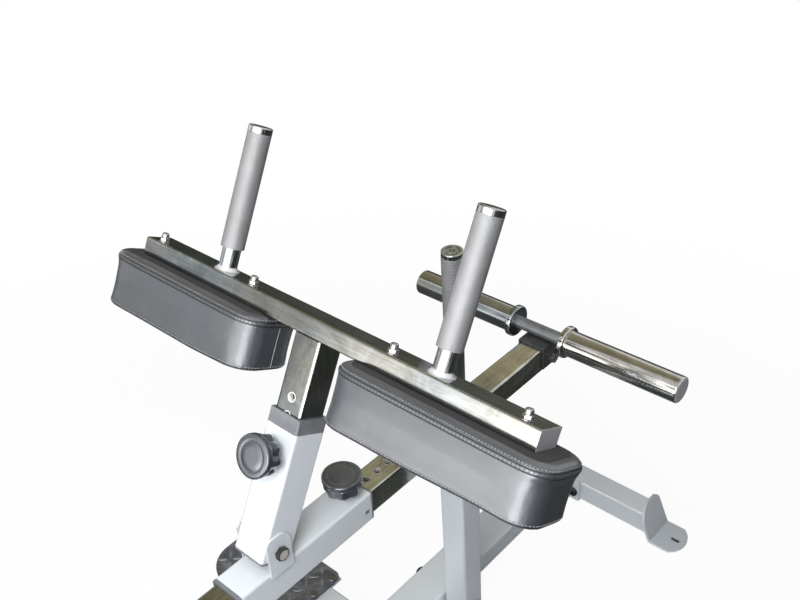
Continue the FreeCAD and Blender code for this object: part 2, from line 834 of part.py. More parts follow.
def bush(outer, inner, flange_thick, liner):
    """A square slide bush along Z: a flange over Z 0 and a liner under it."""
    flange = plate(rounded_rectangle(outer, outer, tube_corner), 0, flange_thick)
    liner_size = outer - 2 * (tube_wall + pin_fit)
    liner_outline = rounded_rectangle(liner_size, liner_size, tube_corner - tube_wall)
    solid = flange.fuse(plate(liner_outline, -liner, 0))
    bore = inner + 2 * running_gap
    bore_outline = rounded_rectangle(bore, bore, tube_corner)
    solid = solid.cut(plate(bore_outline, -liner - cut_over, flange_thick + cut_over))
    return solid.removeSplitter()


def carriage_bushes():
    """Plastic bushes in both ends of the carriage."""
    far = aim_y(bush(carriage_size, lever_size, bush_far_flange, bush_liner))
    far = moved(far, 0, carriage_far_y, lever_z)
    nub = bush_nub(carriage_half + bush_nub_proud)
    bore = carriage_half - tube_wall - pin_fit * 2
    nub = nub.cut(block(-bore, bore, carriage_near_y, carriage_far_y, 0, carriage_top_z))
    far = far.fuse(nub).removeSplitter()
    near = aim_y(bush(carriage_size, lever_size, bush_near_flange, bush_liner))
    near = moved(near.mirror(Vector(), Vector(0, 1, 0)), 0, carriage_near_y, lever_z)
    return group([far, near])


def upright_ears():
    """The two ears on the carriage that hold the upright between them."""
    low = carriage_top_z - ear_weld
    high = carriage_top_z + ear_height
    wire = rounded_polygon([(ear_near_y, low), (ear_far_y, low), (ear_far_y, high), (ear_near_y, high)],
                           [ear_thick, ear_thick, ear_far_radius, ear_near_radius])
    solid = plate(wire, 0, ear_thick)
    solid = solid.cut(rod(upright_bolt_radius, Vector(upright_bolt_y, upright_bolt_z, -cut_over),
                          Vector(upright_bolt_y, upright_bolt_z, ear_thick + cut_over)))
    solid.rotate(Vector(), Vector(0, 0, 1), 90)
    solid.rotate(Vector(), Vector(0, 1, 0), 90)
    right = moved(solid, carriage_half, 0, 0)
    return group([right, mirrored(right)])


def upright_bolt():
    """The bolt through the ears and the upright, with its nut."""
    outer = carriage_half + ear_thick
    head = hexagon(upright_bolt_flats, -upright_bolt_head_height, 0)
    pieces = through_bolt(upright_bolt_radius, head, upright_bolt_head_height, 2 * outer,
                          upright_bolt_flats, upright_bolt_nut_height)
    return group([mirrored(moved(aim_x(piece), -outer, upright_bolt_y, upright_bolt_z))
                  for piece in pieces])


def upright_sleeve():
    """The painted sleeve that guides the pad post."""
    tube = square_tube(upright_size, upright_size, tube_wall, tube_corner, -upright_below, upright_above)
    side = upright_half + cut_over
    tube = tube.cut(rod(upright_bolt_radius, Vector(-side, 0, 0), Vector(side, 0, 0)))
    tube = tube.cut(rod(pin_radius + running_gap, Vector(0, 0, height_pin_z),
                        Vector(0, -side, height_pin_z)))
    return on_upright(tube)


def upright_bush():
    """The tall plastic collar on top of the upright sleeve."""
    solid = bush(upright_size, post_size, upright_collar_height, upright_liner)
    half = upright_half
    draft = math.degrees(upright_collar_draft / upright_collar_height)
    for index in range(tube_sides):
        wedge = block(-half - cut_over, half + cut_over, 0, half, 0, upright_collar_height + cut_over)
        wedge.rotate(Vector(), Vector(1, 0, 0), draft)
        wedge.translate(Vector(0, half, 0))
        wedge.rotate(Vector(), Vector(0, 0, 1), 360 * index / tube_sides)
        solid = solid.cut(wedge)
    return on_upright(moved(solid, 0, 0, upright_above))


def upright_end_cap():
    """The plastic plug in the square-cut lower end of the upright."""
    cap = tube_cap(upright_size, upright_size, tube_corner, upright_cap_plug)
    cap.rotate(Vector(), Vector(1, 0, 0), 180)
    return on_upright(moved(cap, 0, 0, -upright_below))


def aim_out(shape):
    """Turn a shape built along Z so that it points out of the upright's rear face."""
    turned = shape.copy()
    turned.rotate(Vector(), Vector(1, 0, 0), 90)
    return on_upright(moved(turned, 0, -upright_half, height_pin_z))


def aim_top(shape):
    """Stand a shape built along Z on the carriage at its locking pin."""
    return moved(shape, 0, carriage_pin_y, carriage_top_z)


def pin_housings():
    """The welded barrels that guide the two locking pins."""
    barrel = ring(housing_radius, pin_radius + running_gap, Vector(), Vector(0, 0, housing_length))
    return group([aim_out(barrel), aim_top(barrel)])


def locking_pin(inner_half, outer_half):
    """A pin along Z, from the outer tube's face, whose tip stops short of the inner tube."""
    tip = inner_half + pin_tip_gap - outer_half
    return rod(pin_radius, Vector(0, 0, tip), Vector(0, 0, housing_length + running_gap + pin_in_knob))


def knob():
    """A lobed knob with a smooth round cap."""
    base = housing_length + running_gap
    skirt_top = base + knob_skirt_height
    body = rod(knob_core_radius, Vector(0, 0, base), Vector(0, 0, skirt_top))
    for index in range(knob_lobes):
        angle = math.radians(360 * index / knob_lobes)
        x = knob_lobe_circle * math.cos(angle)
        y = knob_lobe_circle * math.sin(angle)
        body = body.fuse(rod(knob_lobe_radius, Vector(x, y, base), Vector(x, y, skirt_top)))
    cap = rod(knob_radius, Vector(), Vector(0, 0, knob_cap_height))
    cap = moved(rounded_ends(cap, knob_cap_round, (0, knob_cap_height)), 0, 0, skirt_top)
    body = body.fuse(cap).removeSplitter()
    return body.cut(rod(pin_radius, Vector(), Vector(0, 0, base + pin_in_knob)))


def post_tube():
    """The chromed pad post with its row of holes."""
    tube = square_tube(post_size, post_size, tube_wall, tube_corner, post_bottom, bar_bottom)
    for step in range(-post_holes_below, post_holes_above + 1):
        z = height_pin_z + step * post_hole_pitch
        tube = tube.cut(rod(pin_hole_radius, Vector(0, 0, z), Vector(0, -post_size, z)))
    return on_upright(tube)


def pad_bolt_places():
    """Where the pad bolts stand along the crossbar."""
    return [-pad_bolt_outer_x, -pad_bolt_inner_x, pad_bolt_inner_x, pad_bolt_outer_x]


def pad_bolt_drills(z0, z1):
    """Drills for the pad bolts."""
    return group([rod(pad_bolt_radius, Vector(x, pad_bolt_y, z0), Vector(x, pad_bolt_y, z1))
                  for x in pad_bolt_places()])


def crossbar():
    """The flat crossbar that carries the handles and the pads, with closed ends."""
    half = bar_length / 2
    tube = aim_x(square_tube(bar_height, bar_depth, tube_wall, bar_corner, -half, half))
    end = aim_x(plate(rounded_rectangle(bar_height, bar_depth, bar_corner), half - tube_wall, half))
    solid = tube.fuse(end).fuse(mirrored(end)).removeSplitter()
    solid = moved(solid, 0, 0, bar_bottom + bar_height / 2)
    return on_upright(solid.cut(pad_bolt_drills(bar_bottom - cut_over, bar_top + cut_over)))


def handle(side):
    """A handle tube with a flared weld at its foot."""
    flare = Part.makeCone(handle_flare_radius, handle_radius, handle_flare_height)
    tube = rod(handle_radius, Vector(), Vector(0, 0, grip_end)).fuse(flare).removeSplitter()
    tube = tube.cut(rod(handle_radius - handle_wall, Vector(0, 0, tube_wall),
                        Vector(0, 0, grip_end + cut_over)))
    return on_upright(moved(tube, side * handle_x, 0, bar_top))


def handle_grip(side):
    """A sleeve grip over one handle tube."""
    grip = ring(grip_radius, handle_radius, Vector(0, 0, grip_start), Vector(0, 0, grip_end))
    return on_upright(moved(grip, side * handle_x, 0, bar_top))


def handle_caps():
    """Domed chrome caps on the handle ends."""
    lid = rod(grip_radius, Vector(), Vector(0, 0, handle_cap_height))
    lid = rounded_ends(lid, handle_cap_round, (handle_cap_height,))
    plug = rod(handle_radius - handle_wall - pin_fit, Vector(0, 0, -handle_cap_plug), Vector())
    cap = lid.fuse(plug).removeSplitter()
    return group([on_upright(moved(cap, side * handle_x, 0, bar_top + grip_end)) for side in (-1, 1)])


def pad_middle_x():
    """The middle of a pad along the crossbar."""
    return (pad_inner_x + pad_outer_x) / 2


def thigh_pad(side):
    """A thigh pad under the crossbar, crowned downwards and wrapped around its board."""
    length = pad_outer_x - pad_inner_x
    solid = cushion(length, pad_depth, pad_corner, pad_thick, pad_section_shares, True)
    solid.rotate(Vector(), Vector(1, 0, 0), 180)
    pocket = plate(board_outline(length, pad_depth, pad_corner, pad_board_inset - running_gap),
                   -pad_board_thick - running_gap, cut_over)
    solid = moved(solid.cut(pocket), side * pad_middle_x(), pad_shift, bar_bottom)
    return on_upright(solid)


def pad_boards():
    """The boards inside the pads, with their bolt holes."""
    length = pad_outer_x - pad_inner_x
    solids = []
    for side in (-1, 1):
        wire = board_outline(length, pad_depth, pad_corner, pad_board_inset)
        board = moved(plate(wire, -pad_board_thick, 0), side * pad_middle_x(), pad_shift, bar_bottom)
        board = board.cut(pad_bolt_drills(bar_bottom - pad_board_thick - cut_over, bar_bottom + cut_over))
        solids.append(on_upright(board))
    return group(solids)


def pad_bolts():
    """Studs from the pad boards up through the crossbar, with washers and nuts."""
    solids = []
    for x in pad_bolt_places():
        stud = rod(pad_bolt_radius, Vector(x, pad_bolt_y, bar_bottom - pad_board_thick),
                   Vector(x, pad_bolt_y, bar_top + pad_bolt_rise))
        washer_top = bar_top + pad_washer_thick
        washer = ring(pad_washer_radius, pad_bolt_radius, Vector(x, pad_bolt_y, bar_top),
                      Vector(x, pad_bolt_y, washer_top))
        nut = moved(hexagon(pad_nut_flats, 0, pad_nut_height), x, pad_bolt_y, washer_top)
        nut = nut.cut(rod(pad_bolt_radius, Vector(x, pad_bolt_y, bar_top),
                          Vector(x, pad_bolt_y, bar_top + pad_bolt_rise)))
        solids += [on_upright(stud), on_upright(washer), on_upright(nut)]
    return group(solids)


def catch_post():
    """The square catch post with its ledge, its closing plates and its pivot hole."""
    tube = square_tube(catch_size, catch_size, tube_wall, tube_corner, -catch_post_below, catch_post_above)
    outline = rounded_rectangle(catch_size, catch_size, tube_corner)
    tube = tube.fuse(plate(outline, -catch_post_below, -catch_post_below + tube_wall))
    tube = tube.fuse(plate(outline, catch_post_above - catch_plate_thick, catch_post_above))
    tube = moved(tube, catch_centre_x, 0, 0)
    angle = math.radians(catch_lean)
    rise = lever_z - peg_radius - ledge_gap - catch_pivot_z
    forward = peg_y - catch_pivot_y
    ledge_z = rise * math.cos(angle) - forward * math.sin(angle)
    ledge_y = forward * math.cos(angle) + rise * math.sin(angle)
    ledge = block(lever_side + ledge_side_gap, catch_inner_x + tube_wall / 2, ledge_y - ledge_before,
                  ledge_y + ledge_after, ledge_z - ledge_height, ledge_z)
    solid = tube.fuse(ledge).removeSplitter()
    start = Vector(0, 0, 0)
    end = Vector(catch_outer_x + cut_over, 0, 0)
    return on_catch(solid.cut(rod(catch_bolt_radius + pin_fit, start, end)))


def catch_handle():
    """The round handle tube on top of the catch post."""
    start = Vector(catch_centre_x, 0, catch_post_above)
    return on_catch(ring(catch_handle_radius, catch_handle_radius - handle_wall, start,
                         Vector(catch_centre_x, 0, catch_handle_top)))


def catch_grip():
    """The ribbed grip over the catch handle."""
    start = Vector(catch_centre_x, 0, catch_handle_top - catch_grip_length)
    end = Vector(catch_centre_x, 0, catch_handle_top)
    return on_catch(ring(catch_grip_radius, catch_handle_radius, start, end))


def catch_cap():
    """The ring cap on the catch handle, with a recess and a hexagon socket."""
    top = catch_cap_height
    lid = rounded_ends(rod(catch_cap_radius, Vector(), Vector(0, 0, top)), handle_cap_round / 2, (top,))
    recess_floor = top - catch_cap_recess
    lid = lid.cut(rod(catch_cap_recess_radius, Vector(0, 0, recess_floor), Vector(0, 0, top + cut_over)))
    screw = rod(catch_cap_recess_radius - catch_cap_recess, Vector(0, 0, recess_floor),
                Vector(0, 0, top - running_gap))
    socket = hexagon(catch_socket_flats, recess_floor - catch_socket_depth / 2, top + cut_over)
    lid = lid.fuse(screw).cut(socket)
    plug = rod(catch_handle_radius - handle_wall - pin_fit, Vector(0, 0, -handle_cap_plug), Vector())
    return on_catch(moved(lid.fuse(plug).removeSplitter(), catch_centre_x, 0, catch_handle_top))


def catch_pivot_bolt():
    """The catch's pivot bolt through the beam, with its nut and the spacer beside the beam."""
    outer = catch_outer_x + running_gap
    half = beam_width / 2
    pieces = through_bolt(catch_bolt_radius, round_head(catch_bolt_head_radius, catch_bolt_head_height),
                          catch_bolt_head_height, outer + half, catch_bolt_nut_flats, catch_bolt_nut_height)
    solids = [moved(mirrored(aim_x(piece)), outer, catch_pivot_y, catch_pivot_z) for piece in pieces]
    spacer_end = catch_inner_x - running_gap
    solids.append(ring(catch_spacer_radius, catch_bolt_radius, Vector(half, catch_pivot_y, catch_pivot_z),
                       Vector(spacer_end, catch_pivot_y, catch_pivot_z)))
    return group(solids)


def export(node, shape):
    """Write one node's file."""
    shape.exportStep("parts/" + node + ".step")


os.makedirs("parts", exist_ok=True)

export("base_beam", base_beam())
export("joint_plates", group([joint_plate(-1), joint_plate(1)]))
export("front_cross_foot", cross_foot(1))
export("rear_cross_foot", cross_foot(-1))
front_right = floor_bracket()
front_left = mirrored(front_right)
export("front_foot_bracket_right", front_right)
export("front_foot_bracket_left", front_left)
export("rear_foot_bracket_right", front_right.mirror(Vector(), Vector(0, 1, 0)))
export("rear_foot_bracket_left", front_left.mirror(Vector(), Vector(0, 1, 0)))
export("foot_bolts", foot_bolts())
export("step_tube", step_tube())
export("step_tube_caps", step_tube_caps())
export("foot_plate_screws", foot_plate_screws())
export("seat_post", seat_post())
export("seat_plate", seat_plate())
export("seat_board", seat_board())
export("seat_cushion", seat_cushion())
export("seat_screws", seat_screws())
export("pivot_plates", pivot_plates())
export("pivot_bolt", pivot_bolt())
export("catch_pivot_bolt", catch_pivot_bolt())
export("lever_tube", lever_tube())
export("pivot_sleeve", pivot_sleeve())
export("pivot_bushes", pivot_bushes())
export("lever_end_caps", lever_end_caps())
export("horn_bracket", horn_bracket())
export("horn_bolt", horn_bolt())
export("weight_shaft", weight_shaft())
export("weight_collars", weight_collars())
export("lever_rest_peg", lever_rest_peg())
export("carriage_sleeve", carriage_sleeve())
export("carriage_bushes", carriage_bushes())
export("upright_ears", upright_ears())
export("upright_bolt", upright_bolt())
export("upright_sleeve", upright_sleeve())
export("upright_bush", upright_bush())
export("upright_end_cap", upright_end_cap())
export("pin_housings", pin_housings())
export("height_knob", aim_out(knob()))
export("height_pin", aim_out(locking_pin(post_size / 2, upright_half)))
export("carriage_knob", aim_top(knob()))
export("carriage_pin", aim_top(locking_pin(lever_side, carriage_half)))
export("post_tube", post_tube())
export("crossbar", crossbar())
export("handle_caps", handle_caps())
export("pad_boards", pad_boards())
export("pad_bolts", pad_bolts())
export("catch_post", catch_post())
export("catch_handle", catch_handle())
export("catch_grip", catch_grip())
export("catch_cap", catch_cap())
for name, side in (("left", -1), ("right", 1)):
    export("foot_plate_" + name, foot_plate(side))
    export("weight_sleeve_" + name, weight_sleeve(side))
    export("handle_" + name, handle(side))
    export("grip_" + name, handle_grip(side))
    export("pad_" + name, thigh_pad(side))
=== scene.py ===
"""Looks of the seated calf raise machine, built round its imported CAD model."""
import json
import math

import bmesh
import bpy
from mathutils import Matrix, Vector, noise
from mathutils.bvhtree import BVHTree

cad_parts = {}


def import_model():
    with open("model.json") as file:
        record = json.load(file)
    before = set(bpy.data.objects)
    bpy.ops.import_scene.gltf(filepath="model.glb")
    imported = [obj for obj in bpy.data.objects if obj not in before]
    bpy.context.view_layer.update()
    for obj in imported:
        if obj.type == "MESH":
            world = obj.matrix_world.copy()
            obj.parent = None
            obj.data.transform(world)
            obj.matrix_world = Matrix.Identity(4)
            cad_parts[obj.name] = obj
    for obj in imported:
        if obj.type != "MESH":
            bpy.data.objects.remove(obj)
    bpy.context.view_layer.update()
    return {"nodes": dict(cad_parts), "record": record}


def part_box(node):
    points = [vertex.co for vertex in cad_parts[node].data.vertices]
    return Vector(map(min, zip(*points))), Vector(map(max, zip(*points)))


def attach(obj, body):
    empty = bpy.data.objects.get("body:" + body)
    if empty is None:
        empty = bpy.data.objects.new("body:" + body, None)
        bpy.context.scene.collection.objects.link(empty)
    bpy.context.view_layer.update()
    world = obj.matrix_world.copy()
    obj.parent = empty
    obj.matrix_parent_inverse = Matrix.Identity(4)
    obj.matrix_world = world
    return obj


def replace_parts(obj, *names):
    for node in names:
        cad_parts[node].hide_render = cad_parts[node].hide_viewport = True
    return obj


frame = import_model()
nodes = frame["nodes"]

# The leaning upright's own frame: x to the right, z along the post, origin at its bolt
LEAN = math.radians(28)
BOLT = (0, -0.103, 0.468)
UPRIGHT = Matrix.Translation(BOLT) @ Matrix.Rotation(-LEAN, 4, "X")
BAR_BOTTOM = 0.3203
BAR_TOP = 0.3483
HANDLE_X = 0.206
PAD_MIDDLE = 0.241
PAD_HALF_LENGTH = 0.167
PAD_HALF_DEPTH = 0.0575
PAD_SHIFT = -0.0035
PAD_THICK = 0.084
PAD_EDGE = 0.074
PAD_BELLY = 0.046
SEAT_Y = -0.578
FACE_OUT = Matrix.Rotation(math.radians(90), 4, "X")
HEIGHT_PIN_Z = 0.1473
HEIGHT_PIN = Matrix.Translation((0, -0.03, HEIGHT_PIN_Z)) @ FACE_OUT
CARRIAGE_TOP = Matrix.Translation((0, 0.06, 0.436))
HOLE_RADIUS = 0.006


# Materials

class Nodes:
    """Adds linked nodes to a tree; its own nodes are cleared first unless they are kept."""

    def __init__(self, tree, keep=False):
        self.tree = tree
        if not keep:
            tree.nodes.clear()

    def node(self, kind, inputs=(), **settings):
        made = self.tree.nodes.new("ShaderNode" + kind)
        for key, value in settings.items():
            setattr(made, key, value)
        for key, value in dict(inputs).items():
            if isinstance(value, bpy.types.NodeSocket):
                self.tree.links.new(value, made.inputs[key])
            else:
                made.inputs[key].default_value = value
        return made


class Look(Nodes):
    """A procedural material that is being put together."""

    def __init__(self, name):
        self.material = bpy.data.materials.new(name)
        self.material.use_nodes = True
        super().__init__(self.material.node_tree, keep=True)
        self.shader = self.tree.nodes["Principled BSDF"]
        self.coordinates = self.node("TexCoord").outputs
        self.where = self.coordinates["Object"]

    def set(self, **values):
        for key, value in values.items():
            socket = self.shader.inputs[key.replace("_", " ")]
            if isinstance(value, bpy.types.NodeSocket):
                self.tree.links.new(value, socket)
            else:
                socket.default_value = value

    def mapped(self, scale=(1, 1, 1), location=(0, 0, 0), rotation=(0, 0, 0), kind="POINT"):
        return self.node("Mapping", {"Vector": self.where, "Scale": scale, "Location": location,
                                     "Rotation": rotation}, vector_type=kind).outputs[0]

    def upright(self):
        """The place in the leaning upright's own frame."""
        return self.mapped(location=BOLT, rotation=(-LEAN, 0, 0), kind="TEXTURE")

    def noise(self, scale, detail=3.0, rough=0.5, vector=None, distortion=0.0):
        return self.node("TexNoise", {"Vector": vector or self.where, "Scale": scale, "Detail": detail,
                                      "Roughness": rough, "Distortion": distortion}).outputs["Fac"]

    def ramp(self, value, stops):
        made = self.node("ValToRGB", {"Fac": value})
        elements = made.color_ramp.elements
        while len(elements) < len(stops):
            elements.new(0.5)
        for element, (place, colour) in zip(elements, stops):
            element.position = place
            shade = colour if isinstance(colour, tuple) else (colour, colour, colour)
            element.color = (*shade, 1)
        return made.outputs["Color"]

    def span(self, value, low, high, from_low=0.0, from_high=1.0):
        return self.node("MapRange", {"Value": value, "From Min": from_low, "From Max": from_high,
                                      "To Min": low, "To Max": high}).outputs[0]

    def math(self, operation, first, second=0.0, third=0.0, clamp=False):
        made = self.node("Math", operation=operation, use_clamp=clamp)
        for socket, value in zip(made.inputs, (first, second, third)):
            if isinstance(value, bpy.types.NodeSocket):
                self.tree.links.new(value, socket)
            else:
                socket.default_value = value
        return made.outputs[0]

    def mix(self, factor, first, second, blend="MIX"):
        made = self.node("Mix", data_type="RGBA", blend_type=blend)
        for socket, value in zip((made.inputs[0], made.inputs[6], made.inputs[7]), (factor, first, second)):
            if isinstance(value, bpy.types.NodeSocket):
                self.tree.links.new(value, socket)
            elif isinstance(value, tuple):
                socket.default_value = (*value, 1)
            else:
                socket.default_value = value
        return made.outputs[2]

    def bump(self, height, strength, distance, under=None):
        inputs = {"Height": height, "Strength": strength, "Distance": distance}
        if under is not None:
            inputs["Normal"] = under
        return self.node("Bump", inputs).outputs[0]

    def soft_edges(self, radius):
        return self.node("Bevel", {"Radius": radius}, samples=4).outputs[0]


def split(look, vector):
    made = look.node("SeparateXYZ", {"Vector": vector})
    return made.outputs[0], made.outputs[1], made.outputs[2]


def paint():
    look = Look("silver_powder_coat")
    broad = look.noise(5.0, 3, 0.6)
    flake = look.noise(1900.0, 2, 0.6)
    colour = look.ramp(broad, [(0.3, (0.590, 0.620, 0.650)), (0.7, (0.630, 0.660, 0.690))])
    colour = look.mix(0.35, colour, look.ramp(flake, [(0.3, (0.53, 0.56, 0.59)), (0.7, (0.71, 0.74, 0.77))]))
    scuff = look.ramp(look.noise(38.0, 6, 0.7, look.mapped((1, 1, 0.25))), [(0.66, 0.0), (0.74, 1.0)])
    colour = look.mix(look.math("MULTIPLY", scuff, 0.12), colour, (0.45, 0.46, 0.46))
    peel = look.noise(520.0, 2, 0.5)
    look.set(Base_Color=colour, Roughness=look.span(look.noise(60.0, 4), 0.26, 0.40), Metallic=0.12,
             Normal=look.bump(peel, 0.10, 0.0004, look.soft_edges(0.0024)))
    look.set(Coat_Weight=0.45, Coat_Roughness=0.11)
    return look.material


def chrome(name, along, tint=1.0, satin=None, edge=0.0009):
    """Polished plate over a ground tube: streaks that run along it, warm and cool clouds, a faint haze.

    Satin takes the look and gives a mask of where the metal is left unpolished.
    """
    look = Look(name)
    scale = [70.0, 70.0, 70.0]
    scale[along] = 3.2
    streak = look.noise(1.0, 5, 0.62, look.mapped(tuple(scale)), 0.4)
    cloud = look.noise(13.0, 6, 0.62, None, 1.1)
    both = look.math("MULTIPLY_ADD", cloud, 0.72, look.math("MULTIPLY", streak, 0.28))
    fleck = look.noise(1.0, 6, 0.75, look.mapped(tuple(value * 2.4 for value in scale)), 0.9)
    both = look.math("MULTIPLY_ADD", look.math("SUBTRACT", fleck, 0.5), 0.55, both)
    yellow = 1.0 if along else 1.07
    warm = look.ramp(both, [(0.34, (0.31 * tint, 0.30 * tint, 0.25 * tint * yellow)),
                            (0.5, (0.46 * tint, 0.45 * tint, 0.39 * tint * yellow)),
                            (0.66, (0.62 * tint, 0.62 * tint, 0.58 * tint * yellow))])
    cool = look.ramp(both, [(0.34, (0.26 * tint, 0.29 * tint, 0.31 * tint)),
                            (0.5, (0.41 * tint, 0.44 * tint, 0.46 * tint)),
                            (0.66, (0.60 * tint, 0.62 * tint, 0.64 * tint))])
    colour = look.mix(look.span(look.noise(5.5, 3, 0.5), 0.0, 0.9, 0.42, 0.62), warm, cool)
    rough = look.span(both, 0.19, 0.05, 0.3, 0.7)
    fine = [900.0, 900.0, 900.0]
    fine[along] = 14.0
    hair = look.noise(1.0, 3, 0.6, look.mapped(tuple(fine)))
    metallic = 1.0
    if satin is not None:
        mask = satin(look)
        colour = look.mix(mask, colour, (0.66, 0.65, 0.68))
        rough = look.math("MULTIPLY_ADD", mask, 0.30, rough)
        metallic = look.math("MULTIPLY_ADD", mask, -0.45, 1.0)
    look.set(Base_Color=colour, Metallic=metallic, Roughness=rough,
             Normal=look.bump(hair, 0.05, 0.0002, look.soft_edges(edge)))
    return look.material


def flares(look):
    """The brushed weld flares at the feet of the handles."""
    height = split(look, look.upright())[2]
    return look.span(height, 1.0, 0.0, BAR_TOP + 0.0052, BAR_TOP + 0.0078)


def bar_ends(look):
    """The sawn and welded end plates of the crossbar."""
    normal = look.node("SeparateXYZ", {"Vector": look.coordinates["Normal"]})
    facing = look.math("ABSOLUTE", normal.outputs[0])
    return look.span(facing, 0.0, 1.0, 0.90, 0.97)


def from_axis(look, axis_y, axis_z):
    """The distance from a level axis that runs across the machine."""
    _, y, z = split(look, look.mapped(location=(0, -axis_y, -axis_z)))
    square = look.math("ADD", look.math("MULTIPLY", y, y), look.math("MULTIPLY", z, z))
    return look.math("POWER", square, 0.5)


def horn_bore(look):
    """The unpolished inner wall and mouth of a weight horn."""
    return look.span(from_axis(look, 0.601, 0.448), 1.0, 0.0, 0.0236, 0.0242)


def bolt_face(look):
    """The plain face of the upright's bolt head inside its blackened rim."""
    return look.span(from_axis(look, BOLT[1], BOLT[2]), 1.0, 0.0, 0.0078, 0.0088)


def knurl(name, base, tilt, radius, pitch, colour_low, colour_high, metallic, rough, rings=0.0):
    """A crossed diamond knurl, or rings across, round one leaning cylinder."""
    look = Look(name)
    x, y, height = split(look, look.mapped(location=base, rotation=(tilt, 0, 0), kind="TEXTURE"))
    arc = look.math("MULTIPLY", look.math("ARCTAN2", y, x), radius * 2 * math.pi / pitch)
    rise = look.math("MULTIPLY", height, 2 * math.pi / pitch)
    first = look.math("SINE", look.math("ADD", arc, rise))
    second = look.math("SINE", look.math("SUBTRACT", arc, rise))
    pattern = look.math("MULTIPLY", first, second)
    if rings:
        across = look.math("SINE", look.math("MULTIPLY", height, 2 * math.pi / rings))
        pattern = look.math("MULTIPLY_ADD", pattern, 0.35, across)
    worn = look.noise(30.0, 4, 0.6)
    level = look.span(pattern, 0.0, 1.0, -1.0, 1.0)
    # Painted shade: the colour follows the knurl's height and is darker in its valleys; the worn noise mixed in after
    # it is wear.
    shade = look.ramp(level, [(0.1, colour_low), (0.8, colour_high)])
    look.set(Base_Color=look.mix(0.25, shade, look.ramp(worn, [(0.35, colour_low), (0.65, colour_high)])),
             Metallic=metallic, Roughness=look.span(worn, rough - 0.05, rough + 0.07),
             Normal=look.bump(level, 0.35, 0.0004, look.soft_edges(0.001)))
    return look.material


def plastic(name, low, high, rough, bump=0.06, grain=700.0, coat=0.0):
    look = Look(name)
    colour = look.ramp(look.noise(45.0, 5, 0.65), [(0.3, low), (0.7, high)])
    scratch = look.ramp(look.noise(1.0, 4, 0.7, look.mapped((260.0, 30.0, 60.0))), [(0.62, 0.0), (0.70, 1.0)])
    lighter = tuple(min(1.0, value * 1.9 + 0.01) for value in high)
    look.set(Base_Color=look.mix(look.math("MULTIPLY", scratch, 0.35), colour, lighter),
             Roughness=look.span(look.noise(70.0, 4), rough - 0.06, rough + 0.09),
             Normal=look.bump(look.noise(grain, 2, 0.6), bump, 0.0003, look.soft_edges(0.0008)))
    look.set(Coat_Weight=coat, Coat_Roughness=0.22, Specular_IOR_Level=0.5 + 0.5 * coat)
    return look.material


def metal(name, low, high, rough, streaks, metallic=1.0, face=None):
    look = Look(name)
    streak = look.noise(1.0, 4, 0.6, look.mapped(streaks))
    patch = look.noise(55.0, 4, 0.6)
    colour = look.mix(0.45, look.ramp(patch, [(0.3, low), (0.7, high)]),
                      look.ramp(streak, [(0.3, low), (0.7, high)]))
    if face is not None:
        mask = face(look)
        colour = look.mix(mask, colour, (0.45, 0.43, 0.41))
        metallic = look.math("MULTIPLY_ADD", mask, -0.8 * metallic, metallic)
    look.set(Base_Color=colour, Metallic=metallic, Roughness=look.span(patch, rough - 0.07, rough + 0.1),
             Normal=look.bump(streak, 0.08, 0.0002, look.soft_edges(0.0007)))
    return look.material


def scuffed_steel():
    """Dark foot plate steel with scuffs and faint round brush marks."""
    look = Look("scuffed_foot_plate_steel")
    cell = look.node("TexVoronoi", {"Vector": look.where, "Scale": 26.0}, feature="F1")
    rings = look.math("SINE", look.math("MULTIPLY", cell.outputs["Distance"], 170.0))
    stain = look.noise(24.0, 5, 0.65, None, 1.2)
    value = look.math("MULTIPLY_ADD", rings, 0.05, stain)
    colour = look.ramp(value, [(0.34, (0.075, 0.078, 0.088)), (0.52, (0.115, 0.12, 0.132)),
                               (0.70, (0.22, 0.225, 0.245))])
    look.set(Base_Color=colour, Metallic=0.45, Roughness=look.span(value, 0.60, 0.42, 0.3, 0.7),
             Normal=look.bump(rings, 0.05, 0.0003, look.soft_edges(0.001)))
    return look.material


def cloth_board():
    """The black dust cloth stapled over a plywood board."""
    look = Look("board_dust_cloth")
    x, y, _ = split(look, look.where)
    warp = look.math("SINE", look.math("MULTIPLY", x, 5200.0))
    weft = look.math("SINE", look.math("MULTIPLY", y, 5200.0))
    weave = look.span(look.math("MULTIPLY", warp, weft), 0.0, 1.0, -1.0, 1.0)
    wear = look.noise(60.0, 5, 0.6)
    colour = look.mix(look.math("MULTIPLY", wear, 0.5),
                      look.ramp(weave, [(0.2, (0.018, 0.018, 0.02)), (0.8, (0.045, 0.045, 0.048))]),
                      (0.05, 0.045, 0.04))
    look.set(Base_Color=colour, Roughness=look.span(wear, 0.8, 0.95), Normal=look.bump(weave, 0.3, 0.0003))
    return look.material


